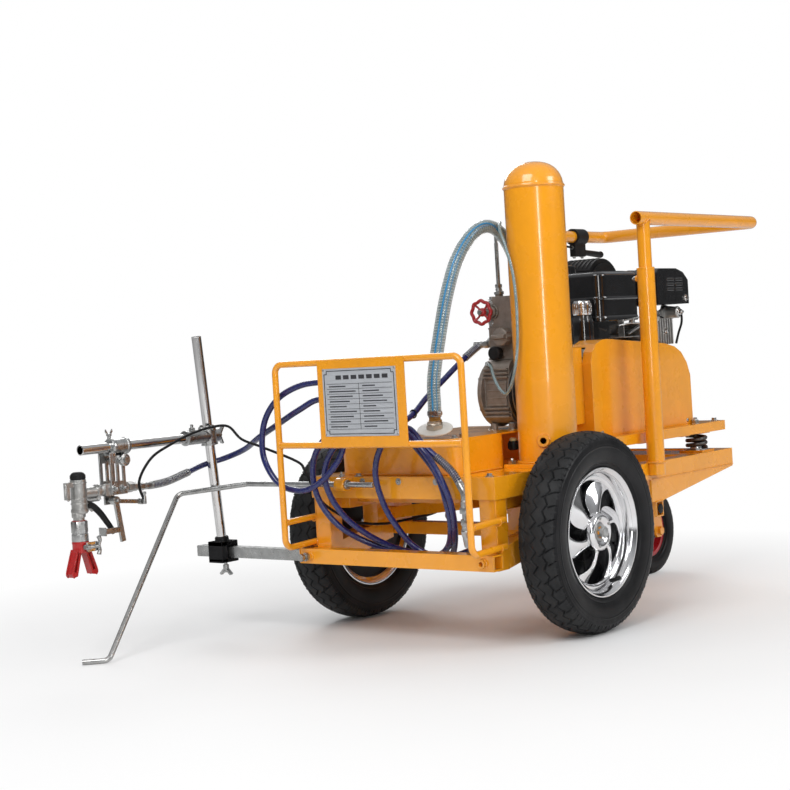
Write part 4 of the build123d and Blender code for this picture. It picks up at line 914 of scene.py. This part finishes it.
part("shelf_knob", "black_plastic", "chassis",
     solid((118, 25, 389), Z, (0, 9), (2, 11), (16, 11.6), (20, 10), sides=32),
     ribs((118, 25, 392), Z, 10, 12, 11.2, 11.5, 1.2, 6))
part("shelf_knob_cap", "yellow_cap", "chassis",
     solid((118, 25, 408), Z, (0, 8), (5, 8.2), (8, 6), (9, 0), sides=28))

# ------------------------------------------------------------------ nameplate
PLATE_Y = -343.2
LEFT, RIGHT, BOTTOM, TOP = -102.0, 87.0, 456.0, 589.0
NOTCH = 7.0
ROW_Z, ROW_PITCH = 466, 10.6
BORDER = [
    (LEFT + NOTCH, BOTTOM), (RIGHT - NOTCH, BOTTOM), (RIGHT - NOTCH, BOTTOM + NOTCH),
    (RIGHT, BOTTOM + NOTCH), (RIGHT, TOP - NOTCH), (RIGHT - NOTCH, TOP - NOTCH),
    (RIGHT - NOTCH, TOP), (LEFT + NOTCH, TOP), (LEFT + NOTCH, TOP - NOTCH),
    (LEFT, TOP - NOTCH), (LEFT, BOTTOM + NOTCH), (LEFT + NOTCH, BOTTOM + NOTCH)]


def rule(x0, z0, x1, z1, height, depth=0.5, lift=0.2):
    """Printed line on the plate; height is its stroke width."""
    return bar((x0, PLATE_Y - lift, z0), (x1, PLATE_Y - lift, z1), depth, height,
               Z if z0 == z1 else X)


def text_row(k):
    z = ROW_Z + ROW_PITCH / 2 + ROW_PITCH * k
    return [rule(LEFT + 12, z, LEFT + 58 + 9 * (k * 5 % 4), z, 2.4),
            rule(2, z, 36 + 10 * (k * 3 % 4), z, 2.4)]


part("nameplate_rules", "plate_ink", "chassis",
     [rule(*start, *end, 1.5, 0.7, 0.25) for start, end in zip(BORDER, BORDER[1:] + BORDER[:1])],
     [rule(LEFT + 6, ROW_Z + ROW_PITCH * k, RIGHT - 6, ROW_Z + ROW_PITCH * k, 0.7)
      for k in range(10)],
     rule(-8, ROW_Z, -8, ROW_Z + ROW_PITCH * 9, 0.7),
     [text_row(k) for k in range(9)],
     [rule(-70 + 21 * k, 575, -55 + 21 * k, 575, 8.5) for k in range(7)],
     slot="nameplate_grey")
part("nameplate_rivets", "zinc_steel", "chassis",
     [solid((x, -343, z), -Y, (0, 2.8), (0.6, 2.6), (1.3, 1.4), (1.5, 0), sides=16)
      for x in (LEFT - 2, RIGHT + 2) for z in (BOTTOM - 2, TOP + 2)])

# ------------------------------------------------------------------ weld beads
PORT_ANGLE = radians(25.75)
PORT = Vector((TANK_X + sin(PORT_ANGLE) * 65, TANK_Y - cos(PORT_ANGLE) * 65, 412))
PORT_ACROSS = Vector((cos(PORT_ANGLE), sin(PORT_ANGLE), 0))
# Straight beads on both sides, x measured outward: start, end, radius, ripple pitch
SIDE_BEADS = (
    ((245.5, -235, 352), (245.5, -235, 200), 1.8, 3.6),
    ((205, -235.5, 199), (245, -235.5, 199), 2.4, 3.6),
    ((205, -235.5, 163.5), (245, -235.5, 163.5), 2.2, 3.6),
    ((219.5, -190, 281), (219.5, -100, 281), 1.8, 3.6),
    ((220.5, -100, 231), (220.5, -100, 281), 1.8, 3.6),
    ((219.5, 445, 281), (219.5, 850, 281), 1.8, 3.6),
    ((219.5, 457, 227.5), (219.5, 490, 227.5), 2.2, 3.6),
    ((138, 278, 323), (202, 278, 323), 1.8, 3.4),
    ((138, 726, 323), (202, 726, 323), 1.8, 3.4))


def side_welds(side, post_y):
    return [
        bead(circle((side * POST_X, post_y, 322), 22.0, Z, 48), 2.8, 4),
        [bead(circle((side * 252, -236, z), 7.6, Y, 24), 1.8, 3) for z in (208, 263)],
        bead(circle((side * 245, -333, 432), 7.4, X, 24), 1.7, 3),
        bead(circle((side * 252, -326, 262.5), 7.4, Y, 24), 1.7, 3),
        [bead([(side * x, y, z) for x, y, z in (start, end)], radius, gap)
         for start, end, radius, gap in SIDE_BEADS]]


part("chassis_welds", "weld", "chassis",
     bead(circle((TANK_X, TANK_Y, TANK_TOP - 54.5), 65.6, Z, 96), 2.6, 4.2),
     bead(circle((TANK_X, TANK_Y, 364.5), 66.0, Z, 96), 3.2, 4.5),
     bead(closed_line(circle_at(PORT, PORT_ACROSS, Z, 14, 32)), 1.8, 3),
     [side_welds(*post) for post in POSTS],
     [bead([(x, -336, z), (x, -336, z + 10)], 1.6, 3) for x in (-122, 114) for z in (602, 428)],
     [bead([(x0, -333.5, 608), (x1, -333.5, 608)], 0.5, 3)
      for x0, x1 in ((-120, -90), (80, 112), (-20, 12))],
     bead([(-167, -205, 357), (106, -205, 357)], 2.2, 3.8),
     bead([(134.5, -177, 357), (134.5, -48, 357)], 2.2, 3.8),
     slot="orange_paint", crease=80)


def saddle(x, y):
    """Closed line where a post meets the handle tube above it."""
    return closed_line([
        Vector((x + 16.4 * out.x, y + 16.4 * out.y, 898 - 15.8 * math.sqrt(1 - 0.98 * out.x**2)))
        for out in spokes(64, Z)])


part("handle_welds", "weld", "handle",
     [bead(saddle(side * POST_X, y), 2.2, 3.6) for side, y in POSTS],
     slot="orange_paint", crease=80)
part("post_collars", "orange_paint", "chassis",
     [[collar((side * POST_X, y, 779), Z, (0, 16.15), (0, 21.2), (3, 21.2), (4, 20),
              (4, 16.15), sides=48),
       solid((side * (POST_X - 20.5), y, 758), X * -side, (0, 8), (5, 8), (6, 7), sides=28)]
      for side, y in POSTS])
part("post_clamp_screws", "zinc_steel", "chassis",
     [bolt((side * (POST_X - 26), y, 758), X * -side, 10, 5, 5, washer=False)
      for side, y in POSTS])

# ------------------------------------------------------------------ chassis hardware
part("chassis_bolts", "zinc_steel", "chassis",
     [bolt((x, y, 355), Z, 11, 5) for x, y in (
         (-230, -215), (-232, 210), (232, 210), (-120, -228), (-60, 218), (60, 218),
         (226, -222))],
     [bolt((x, -240, 345), -Y, 8, 3.4) for x in (-200, -100, 0, 100)],
     [bolt((x, y, 432), Z, 10, 5) for x, y in ((-178, -188), (116, -188), (-178, -38))],
     [solid((x, y, 370), Z, (0, 4.4), (4, 4.4), (5.5, 3.4), sides=18)
      for y in (-32, 96) for x in (152, 248)],
     # axle ends
     [[collar((side * 344.5, 0, WHEEL_Z), X * side, (0, 12.7), (0, 19), (1.5, 19.5),
              (2.5, 18.5), (2.5, 12.7)),
       solid((side * 349, 0, WHEEL_Z), X * side, (0, 8.4), (10, 8.4), (12.5, 6), (13, 0),
             sides=28)] for side in SIDES])
part("cross_tube_plugs", "black_plastic", "chassis",
     [solid((side * 219.2, 473.5, 208.5), X * side, (0, 11), (1.4, 12.2), (2.2, 11), sides=30)
      for side in SIDES])

# ------------------------------------------------------------------ engine: fuel tank
FUEL_X, FUEL_Y, FUEL_CORNER = (-150.0, 100.0), (457.0, 640.0), 26.0


def tank_band(*levels, caps=False):
    """Skin round the fuel tank; levels are (offset outward, z)."""
    x_low, x_high = FUEL_X[0] + FUEL_CORNER, FUEL_X[1] - FUEL_CORNER
    y_low, y_high = FUEL_Y[0] + FUEL_CORNER, FUEL_Y[1] - FUEL_CORNER
    corners = ((x_high, y_high, 0), (x_low, y_high, 90), (x_low, y_low, 180),
               (x_high, y_low, 270))
    rows = []
    for offset, z in levels:
        radius = FUEL_CORNER + offset
        rows.append([(x + radius * cos(radians(first + 9 * k)),
                      y + radius * sin(radians(first + 9 * k)), z)
                     for x, y, first in corners for k in range(11)])
    return rings(rows, caps=caps)


part("fuel_tank_seam", "engine_black", "platform",
     tank_band((0.2, 714), (4.2, 715), (5.0, 717), (5.0, 719.5), (4.2, 721.5), (0.2, 722.5)),
     tank_band((-10, 780.6), (-12, 784.2), (-30, 785.6), (-60, 785.8), caps=True),
     tank_band((0.1, 662.5), (1.6, 664), (1.6, 672), (0.1, 675)))
part("fuel_filler_neck", "engine_black", "platform",
     collar((-70, 560, 784), Z, (0, 33), (0, 37), (2.6, 37.6), (3.6, 35), (3.6, 33), sides=60))
part("fuel_cap_grip", "engine_black", "fuel_cap",
     ribs((-70, 560, 787), Z, 16, 16, 29.6, 29.6, 2.2, 8),
     solid((-70, 560, 804), Z, (0, 30.5), (3, 29), (4.4, 24), (4.8, 0), sides=60))

# ------------------------------------------------------------------ engine: muffler and recoil
# Slots in the +X face of the muffler: first y, last y, z
MUFFLER_SLOTS = [(742 + 44 * col, 772 + 44 * col, 735 + 12.5 * row)
                 for col in range(2) for row in range(3)]


def slot_lip(y0, y1, z):
    return hoop([(120.6, y + 3.0 * sin(radians(a)), z + 3.0 * cos(radians(a)))
                 for y, first in ((y1, 0), (y0, 180)) for a in range(first, first + 181, 20)],
                0.9, 8)


part("muffler_louvres", "engine_black", "platform",
     [slot_lip(*slot) for slot in MUFFLER_SLOTS],
     [bar((x, 706, 788.4), (x, 786, 788.4), 6, 1.6) for x in range(6, 103, 24)])
# Near-black sheets just inside the louvre slots: painted shade in place of the shadow seen through
# the openings
part("muffler_slot_shade", "painted_slot_shade", "platform",
     [slab(119.2, 120.35, ((y0 - 1, z - 2.4), (y1 + 1, z - 2.4), (y1 + 1, z + 2.4),
                           (y0 - 1, z + 2.4))) for y0, y1, z in MUFFLER_SLOTS],
     slot="engine_black")
part("muffler_bolts", "chrome", "platform",
     bolt((120, 834, 712), X, 10, 5),
     solid((30, 850, 735), Y, (0, 18), (2, 18), (3, 14.5), (6, 14.5), (6, 12.5), (3, 12.5)))
RECOIL = Vector((0, 560, 533))  # its axis runs along X
part("recoil_ribs", "black_plastic", "platform",
     [bar(RECOIL - X * 152.6 + out * 30, RECOIL - X * 152.6 + out * 104, 7, 3, X)
      for out in spokes(9, X)],
     [collar(RECOIL - X * 170, -X, (0, r), (0, r + 5), (2, r + 4.4), (2.6, r + 2.5),
             (2, r + 0.6), sides=80) for r in (40, 56, 72)],
     solid(RECOIL - X * 170, -X, (0, 26), (5, 24), (7, 18), sides=50),
     collar(RECOIL - X * 96, -X, (0, 112.2), (0, 115), (6, 115.4), (8, 113.4), (8, 112.2),
            sides=96))
part("recoil_screws", "zinc_steel", "platform",
     [bolt(RECOIL - X * 152 + out, -X, 9, 4) for out in spokes(4, X, 96, pi / 4)])

# ------------------------------------------------------------------ engine: other details


def trim(shell):
    """Keep what lies above z = 702 and beyond y = 643."""
    points, faces = shell
    kept = [i for i, p in enumerate(points) if p.z > 702 and p.y > 643]
    place = {old: new for new, old in enumerate(kept)}
    return ([points[i] for i in kept],
            [tuple(place[i] for i in face) for face in faces if all(i in place for i in face)])


part("air_cleaner_ribs", "black_plastic", "platform",
     trim(solid((-46, 706, 742), X, (0, 70), (2, 72), (6, 72), (7, 66), (7, 30), (9, 26),
                sides=80)),
     [trim(collar((-56 - 13 * k, 706, 742), -X, (0, 83.6), (0, 85.2), (2, 86), (4, 85.2),
                  (4, 83.6), sides=96)) for k in range(7)])
part("oil_canister_body", "engine_black", "platform",
     solid((66, 420, 598), Z, (0, 22), (3, 25), (30, 25.6), (62, 25.6), (70, 24.6), (74, 23),
           (84, 22), sides=56),
     box(46, 86, 426, 472, 606, 622),
     slot="chrome", bevel=1.2, replaces="oil_canister")
part("oil_canister_cap", "chrome", "platform",
     solid((66, 420, 680), Z, (0, 22), (2, 23), (30, 22.6), (34, 20.5), (36, 16), (36.4, 0),
           sides=56),
     ribs((66, 420, 684), Z, 26, 24, 22.8, 22.6, 1.3, 6))
part("belt_guard_screws", "zinc_steel", "platform",
     [solid((160, y, 402), X, (0, 5), (1.2, 5), (2.4, 3.4), (2.6, 0), sides=20)
      for y in (330, 530, 736)])
part("control_linkage", "zinc_steel", "platform",
     box(104, 150, 470, 540, 620, 622.5),
     bar((112, 520, 621), (112, 520, 664), 16, 3, Y),
     bar((112, 520, 660), (140, 560, 668), 14, 3),
     tube([(118, 500, 650), (128, 540, 654), (130, 600, 650), (124, 640, 640)], 2.2, 10),
     bar((80, 600, 628), (104, 640, 652), 18, 4),
     solid((128, 545, 652), Z, (0, 7), (3, 7.6), (10, 7), (12, 5), sides=24),
     solid((100, 668, 640), (1, 0, 0.1), (-20, 16), (0, 17), (4, 15), (14, 15), (15, 0),
           sides=30),
     bevel=0.5)
part("carburettor_block", "engine_cast", "platform",
     box(60, 112, 640, 676, 600, 650),
     box(66, 106, 632, 642, 612, 640),
     solid((86, 676, 626), Y, (0, 18), (8, 20), (26, 20), (30, 17)),
     [box(58, 114, 638, 678, z, z + 2.4) for z in range(604, 645, 10)],
     [box(-96, 94, 464, 470, z, z + 4) for z in range(430, 551, 30)],
     slot="cast_alloy", bevel=1.0)
part("spark_lead", "black_rubber", "platform",
     tube([(-30, 790, 640), (-40, 830, 660), (-80, 850, 640), (-120, 800, 600),
           (-130, 700, 590)], 4, 12, 8),
     solid((-30, 770, 632), (-0.1, 0.92, 0.35), (0, 9), (12, 9.5), (20, 8), (24, 6), sides=24))
part("engine_bolts", "zinc_steel", "platform",
     [bolt((x, 762, z), (0, 0.92, 0.39), 12, 7) for x in (-50, 40) for z in (588, 648)],
     [bolt((x, y, 408), Z, 13, 7, 4) for y in (476, 656) for x in (-80, 76)])
part("recoil_rope_knot", "black_rubber", "recoil_grip",
     tube([(-178, 541, 611), (-174, 541, 611), (-168, 545, 609)], 2.0, 8, 4),
     solid((-178, 541, 611), X, (-2, 5), (2, 6.5), (5, 5), (6, 0), sides=18))
part("belt_tunnel", "orange_paint", "platform",
     slab(133.5, 136.0, ((193, 428), (193, 586), (197, 598), (206, 605), (297, 606),
                         (297, 428))),
     # bent roof sheet; columns: outer y, outer z, inner y, inner z
     rings([[(97.5, y0, z0), (136, y0, z0), (136, y1, z1), (97.5, y1, z1)]
            for y0, z0, y1, z1 in ((197, 598, 200, 597), (206, 606, 208, 603.5),
                                   (298, 606.5, 298, 604))]),
     box(97.5, 136, 193, 297, 426, 428.5),
     box(97.0, 99.5, 240, 297, 428, 606),
     bevel=0.8)
part("exhaust_side_castings", "engine_cast", "platform",
     slab(72, 80, ((690, 604), (742, 590), (842, 676), (846, 690), (806, 694), (700, 660))),
     slab(79.5, 86, ((704, 612), (738, 603), (792, 650), (780, 662), (716, 646))),
     [box(62, 118, y, y + 3.4, 596, 662) for y in range(700, 761, 12)],
     box(66, 112, 698, 764, 604, 660),
     solid((78, 806, 676), X, (0, 16), (10, 17), (22, 15), (34, 15), (36, 12), sides=36),
     solid((60, 800, 640), (0.1, 0.5, 1), (-30, 13), (0, 14), (10, 13), (58, 13), sides=32),
     slot="cast_alloy", bevel=1.0)
part("engine_stays", "black_rubber", "platform",
     tube([(104, 812, 690), (110, 822, 676), (112, 820, 650), (108, 808, 622),
           (104, 800, 596)], 3.0),
     tube([(88, 690, 650), (104, 704, 664), (110, 726, 664), (110, 760, 640)], 2.4, 10))
part("exhaust_side_bolts", "chrome", "platform",
     [bolt(place, X, 13, 7, 5) for place in ((113, 722, 628), (113, 806, 676),
                                             (86, 770, 646))],
     solid((106, 690, 668), X, (0, 14), (3, 15), (9, 15), (11, 12), sides=32))

# ------------------------------------------------------------------ outrigger: bar, pole and arm
POLE_LEAN = radians(5)
POLE_AXIS = Vector((0, -sin(POLE_LEAN), cos(POLE_LEAN)))
POLE_FOOT = Vector((GUN_X, -268, 207))
ARM_Z = 453
POLE_CROSS = POLE_FOOT + POLE_AXIS * ((ARM_Z - 207) / POLE_AXIS.z)  # where the pole meets ARM_Z

part("gun_bar_plug", "black_plastic", "gun_bar",
     solid((-575, -252.5, 181.5), X, (0, 4), (1, 4), sides=12),
     box(-599.5, -597, -264.5, -240.5, 169.5, 193.5),
     box(-597, -585, -262.6, -242.4, 171.4, 191.6),
     bevel=0.8)
part("pole_clamp_body", "black_paint", "pole_clamp",
     [box(-541, -496, *limits) for limits in (  # y, y, z, z
         (-286, -267, 160, 207), (-238.5, -233, 160, 203), (-286, -233, 158, 167.5),
         (-286, -233, 196, 207))],
     collar(POLE_FOOT, POLE_AXIS, (0, 11.2), (0, 16.5), (9, 16.0), (12, 14.5), (12, 11.2)),
     bar((-497, -262, 204), (-486, -268, 209), 12, 5),
     bevel=1.5, replaces="pole_clamp")
part("pole_end_ring", "chrome", "gun_pole",
     collar(POLE_FOOT + POLE_AXIS * 475, POLE_AXIS, (0, 8.8), (0, 11.0), (1.5, 11.25),
            (2.4, 10.6), (2.4, 8.8), sides=36))
part("cross_clamp_rings", "zinc_steel", "cross_clamp",
     [collar(POLE_CROSS + POLE_AXIS * along, POLE_AXIS, (0, 11.2), (0, 19.4), (3, 19.4),
             (3.4, 18), (3.4, 11.2)) for along in (-20.5, 17.5)],
     collar((GUN_X, POLE_CROSS.y - 74, ARM_Z), -Y, (0, 11.2), (0, 17.4), (2.5, 17.2),
            (3.2, 15), (3.2, 11.2)),
     [bolt((GUN_X + side * 17, POLE_CROSS.y - 4, 470), X * side, 10, 5) for side in SIDES],
     bolt((GUN_X, POLE_CROSS.y - 52, 468), Z, 12, 6, 8))
part("arm_end_ring", "chrome", "gun_arm",
     collar((GUN_X, -672, ARM_Z), -Y, (-1, 8.8), (-1, 11.25), (0.6, 11.2), (1.0, 10.6),
            (1.0, 8.8), sides=36))

# ------------------------------------------------------------------ gun bracket
# Frame of each side plate: y, y, z, z
SIDE_PLATE = ((-608, -600, 351, 441), (-574, -566, 351, 441), (-600.5, -573.5, 351, 380),
              (-600.5, -573.5, 418, 441), (-591, -583, 379, 419))
part("gun_bracket_plates", "zinc_steel", "gun_carriage",
     collar((GUN_X, -592, ARM_Z), Y, (0, 11.05), (0, 17.5), (2, 18.6), (8, 18.6), (9, 17.2),
            (41, 17.2), (42, 18.6), (48, 18.6), (50, 17.5), (50, 11.05), sides=56),
     [box(x, x + 4, *limits) for x in (GUN_X - 19, GUN_X + 15) for limits in SIDE_PLATE],
     box(-531, -493, -592, -568, 434, 441),
     box(-531, -527, -600, -572, 328, 354),
     bevel=0.8, replaces="gun_bracket")


def pin_leg(side):
    """Splayed leg of the split pin on top of the arm collar."""
    return rings([[(GUN_X - 1.5, -590 + side * y0, z0), (GUN_X + 1.5, -590 + side * y0, z0),
                   (GUN_X + 1.5, -590 + side * y1, z1), (GUN_X - 1.5, -590 + side * y1, z1)]
                  for y0, z0, y1, z1 in ((3, 478, 4, 484), (10, 486, 9, 492))])


part("gun_bracket_bolts", "zinc_steel", "gun_carriage",
     solid((-535, -586, 337), X, (0, 3.4), (1, 4.4), (8, 4.4), (9, 3.5), (36, 3.5), (37, 0),
           sides=24),
     solid((-534, -572, 424), X, (0, 5), (56, 5), (57, 0), sides=24),
     solid((-493, -572, 424), X, (0, 13), (2, 13.6), (9, 13.6), (10, 12), sides=36),
     hexagon((-483, -572, 424), X, 15, 6),
     bolt((-493, -600, 364), X, 11, 5, 4),
     bolt((-531, -600, 364), -X, 11, 5),
     bolt((-493, -575, 364), X, 11, 5, 4),
     bolt((-531, -572, 424), -X, 14, 7, 6),
     solid((GUN_X, -590, 469), Z, (0, 4), (7, 4), (9, 6), (13, 6), (14, 0), sides=24),
     [pin_leg(side) for side in SIDES])

# ------------------------------------------------------------------ gun
GUN_HEAD_Y = -684
part("gun_trigger_grip", "black_plastic", "gun_trigger",
     tube([(GUN_X, y, z) for y, z in ((-676, 346), (-664, 338), (-646, 330), (-628, 314),
                                      (-612, 294), (-600, 278), (-594, 268))],
          lambda share: 8.5 - 3.0 * share, 14, 8),
     solid((-520, -674, 345), X, (0, 6), (1, 7), (15, 7), (16, 6), sides=28),
     replaces="gun_trigger")
part("gun_head_details", "gun_alloy", "gun_carriage",
     hexagon((GUN_X, -532, 361.8), (0, 1, -0.04), 18, 12),
     solid((GUN_X, -520, 361), (0, 1, -0.04), (0, 7.6), (5, 8.4), (8, 7.4), (18, 7.0),
           (20, 6.2), sides=28),
     collar((GUN_X, GUN_HEAD_Y, 326), -Z, (-4, 17.1), (-4, 18.4), (2, 18.8), (6, 16),
            (6, 12.4)),
     hexagon((GUN_X, -640, 362), Y, 27, 10),
     hexagon((GUN_X, TIP_Y, 312), Z, 26, 12),
     [collar((GUN_X, GUN_HEAD_Y, z), Z, (0, 16.8), (0, 18.2), (2, 18.4), (3, 17.6),
             (3, 16.8), sides=44) for z in (340, 350, 384)])
part("gun_head_cap", "black_plastic", "gun_carriage",
     solid((GUN_X, GUN_HEAD_Y, 392), Z, (0, 15.5), (3, 16.2), (10, 15.8), (14, 13), (16, 9),
           (16.4, 0)),
     ribs((GUN_X, GUN_HEAD_Y, 394), Z, 14, 8, 15.6, 15.4, 1.2, 6))
part("gun_hook", "gun_alloy", "gun_carriage",
     tube([(GUN_X, y, z) for y, z in ((-700, 384), (-716, 384), (-719, 374), (-716, 358),
                                      (-712, 350))],
          lambda share: 4.2 - 1.2 * share),
     tube([(GUN_X, -672, 352), (GUN_X, -664, 336), (GUN_X, -650, 322)], 3.2, 10, 5))
part("gun_spring", "zinc_steel", "gun_carriage",
     coil([Vector((GUN_X, -660 + 2.5 * k, 346)) for k in range(14)], 4.6, 0.9, 3.2), crease=80)
part("tip_union_nut", "zinc_steel", "tip_guard",
     hexagon((GUN_X, TIP_Y, 279), Z, 31, 26),
     collar((GUN_X, TIP_Y, 262), Z, (0, 8.2), (0, 17.8), (2, 18.2), (15, 17.6), (17, 15.4),
            (17, 8.2)), slot="red_plastic")
part("tip_guard_ribs", "red_plastic", "tip_guard",
     collar((GUN_X, TIP_Y, 238), Z, (0, 8.2), (0, 17.4), (3, 18.4), (7, 17.6), (18, 17.6),
            (21, 18.4), (24, 17.2), (24, 15.2), (28, 15.2), (28, 8.2), sides=48),
     [tube([(x, TIP_Y + side * y, z) for y, z in ((16.5, 245), (26, 220), (34, 196),
                                                  (30, 188))], 1.8, 10, 5)
      for side in SIDES for x in (-522.6, -503.2)], crease=45)
part("spray_tip_key", "zinc_steel", "spray_tip",
     solid((-487, TIP_Y, 250), X, (-3, 7), (0, 8), (3, 7), sides=28),
     tube([(-486, -700, 251), (-484, -688, 250), (-482, -672, 250), (-481, -664, 250)],
          lambda share: 5.5 - 1.6 * sin(pi * share), 12, 5),
     tube([(-481, -666, 232), (-481, -663, 242), (-481, -664, 252), (-481, -661, 262),
           (-481, -664, 270)], lambda share: 3.2 + 1.8 * abs(share - 0.5) * 2, 12, 5))
part("cable_lever_boss", "zinc_steel", "cable_lever",
     collar((GUN_X - 8, -586, 337), X, (0, 3.7), (0, 9), (1.5, 9.4), (15, 9.4), (16.5, 9),
            (16.5, 3.7), sides=32),
     solid((GUN_X + 4, -514, 327.4), X, (-6, 6), (-5, 6.6), (5, 6.6), (6, 6), sides=28))
SLEEVE_AXIS = (0.05, -0.1, 1)
part("cable_end_sleeve", "zinc_steel", "gun_carriage",
     solid((GUN_X + 14, -512, 322), SLEEVE_AXIS, (0, 4.4), (16, 4.8), (18, 3.6), (24, 3.6),
           (26, 0), sides=20),
     hexagon((GUN_X + 14.6, -513.6, 342), SLEEVE_AXIS, 10, 6))

# ------------------------------------------------------------------ handle and guide rod
part("lever_cable_adjuster", "zinc_steel", "handle",
     solid((-POST_X, 852, 870), Y, (0, 4.6), (10, 5), (12, 4), (18, 4), sides=20),
     [bolt((-POST_X, y, 846), -Z, 8, 4) for y in (862, 902)])
part("hand_lever_grip", "black_plastic", "hand_lever",
     tube([(-POST_X, 905, 857), (-POST_X, 940, 855), (-POST_X, 992, 851)],
          lambda share: 7.2 + 1.6 * share, 14, 8),
     solid((-POST_X, 996, 851.5), (0, 1, -0.05), (-3, 8), (1, 9.4), (5, 8), (7, 4), (7.2, 0),
           sides=28))
part("handle_cable_ties", "black_rubber", "handle",
     [tie((-POST_X, y, 899), 19.5, 1.8, 28) for y in (650, 720, 790)])
ROD_Y, ROD_Z = -262, 340
part("guide_rod_collars", "zinc_steel", "guide_rod",
     solid((-54, ROD_Y, ROD_Z), X, (0, 6.02), (1.6, 6.0), (2.6, 4.6), sides=24),
     [collar((x, ROD_Y, ROD_Z), X, (0, 6.1), (0, 10), (1, 10.6), (5, 10.6), (6, 10), (6, 6.1),
             sides=36) for x in (-128, -158)])
part("guide_rod_set_screw", "zinc_steel", "chassis",
     bolt((-140, ROD_Y, ROD_Z + 15), Z, 9, 5, 6, washer=False))
part("sleeve_bosses", "orange_paint", "chassis",
     [bar((x, -270.4, 165.6), (x, -270.4, 197.4), 2.2, 2.2, X) for x in (-268, 258)],
     [collar((x, -270, 181.5), -Y, (0, 9.2), (0, 11.2), (1.5, 11), (3.4, 9.2), sides=32)
      for x in (-240, 232)])

# ------------------------------------------------------------------ camera (metres)
CAMERA_PLACE = (2.22593, -2.99507, 0.64079)
TURN, RISE, ROLL = radians(38.89), radians(1.79), radians(-3.45)

camera_data = bpy.data.cameras.new("camera")
camera = bpy.data.objects.new("camera", camera_data)
scene.collection.objects.link(camera)
camera_data.sensor_width = 36.0
camera_data.lens = 75.8838987
camera_data.clip_start, camera_data.clip_end = 0.05, 100
camera_data.shift_x = 0.00039240506
camera_data.shift_y = -0.0000632911392
backward = Vector((sin(TURN) * cos(RISE), -cos(TURN) * cos(RISE), sin(RISE)))
level = (-backward).cross(Z).normalized()
upright = level.cross(-backward)
right = level * cos(ROLL) + upright * sin(ROLL)
up = -level * sin(ROLL) + upright * cos(ROLL)
rotation = Matrix((right, up, backward)).transposed().to_4x4()
camera.matrix_world = Matrix.Translation(CAMERA_PLACE) @ rotation
scene.camera = camera

# ------------------------------------------------------------------ floor (metres)
floor_mesh = bpy.data.meshes.new("floor")
floor_mesh.from_pydata([(-30, -30, 0), (30, -30, 0), (30, 30, 0), (-30, 30, 0)], [],
                       [(0, 1, 2, 3)])
floor = bpy.data.objects.new("floor", floor_mesh)
scene.collection.objects.link(floor)
pale = material("floor_pale", (0.86, 0.86, 0.86), rough=0.7, vary=0.01, scale=2, bump=0.02,
                grain=40)
floor_mesh.materials.append(pale)


def fade_to_white(tree, reach=4.0):
    """Seen by the camera, the floor turns to plain white away from its middle."""
    shader = next(n for n in tree.nodes if n.type == "BSDF_PRINCIPLED")
    output = next(n for n in tree.nodes if n.type == "OUTPUT_MATERIAL")
    glow = node(tree, "Emission", {0: (1, 1, 1, 1)})
    place = node(tree, "TexCoord").outputs["Object"]
    distance = node(tree, "VectorMath", {0: place}, operation="LENGTH").outputs["Value"]
    share = node(tree, "Math", {0: distance, 1: 1 / reach}, operation="MULTIPLY")
    mask = ramp(tree, share.outputs[0], (0.10, BLACK), (0.42, WHITE))
    seen = node(tree, "LightPath").outputs["Is Camera Ray"]
    amount = node(tree, "Math", {0: mask, 1: seen}, operation="MULTIPLY")
    mixed = node(tree, "MixShader", {0: amount.outputs[0], 1: shader.outputs[0],
                                     2: glow.outputs[0]})
    feed(tree, output, {0: mixed.outputs[0]})


fade_to_white(pale.node_tree)


# ------------------------------------------------------------------ lights (metres, watts)
def area(name, place, target, size, power):
    light = bpy.data.lights.new(name, "AREA")
    light.shape = "RECTANGLE"
    light.size, light.size_y = size
    light.energy = power
    lamp = bpy.data.objects.new(name, light)
    scene.collection.objects.link(lamp)
    lamp.location = place
    lamp.rotation_mode = "QUATERNION"
    lamp.rotation_quaternion = (Vector(target) - Vector(place)).to_track_quat("-Z", "Y")


area("key", place=(0.6, -3.2, 3.6), target=(0, 0, 0.4), size=(2.4, 1.8), power=88)
area("strip", place=(2.75, -2.35, 1.5), target=(0.2, 0.0, 0.6), size=(0.28, 2.2), power=26)
area("side", place=(3.6, 1.2, 2.4), target=(0, 0.2, 0.4), size=(1.6, 1.4), power=52)
area("rim", place=(-3.2, 2.8, 2.8), target=(0, 0.2, 0.5), size=(2.0, 1.6), power=50)


# ------------------------------------------------------------------ world
def sky(tree):
    """Grey gradient that lights the cart, plain white behind it for the camera."""
    tree.nodes.clear()
    output = node(tree, "OutputWorld")
    direction = node(tree, "TexCoord").outputs["Generated"]
    height = node(tree, "SeparateXYZ", {0: direction}).outputs["Z"]
    gradient = ramp(tree, height, (0.0, (0.10, 0.10, 0.10)), (1.0, WHITE),
                    (0.18, (0.26, 0.26, 0.265)), (0.45, (0.62, 0.63, 0.65)))
    lighting = node(tree, "Background", {"Color": gradient, "Strength": 0.62})
    backdrop = node(tree, "Background", {"Color": (1, 1, 1, 1), "Strength": 1.0})
    seen = node(tree, "LightPath").outputs["Is Camera Ray"]
    mixed = node(tree, "MixShader", {0: seen, 1: lighting.outputs[0], 2: backdrop.outputs[0]})
    feed(tree, output, {0: mixed.outputs[0]})


world = bpy.data.worlds.new("world")
scene.world = world
world.use_nodes = True
sky(world.node_tree)
scene.view_settings.view_transform = "Standard"
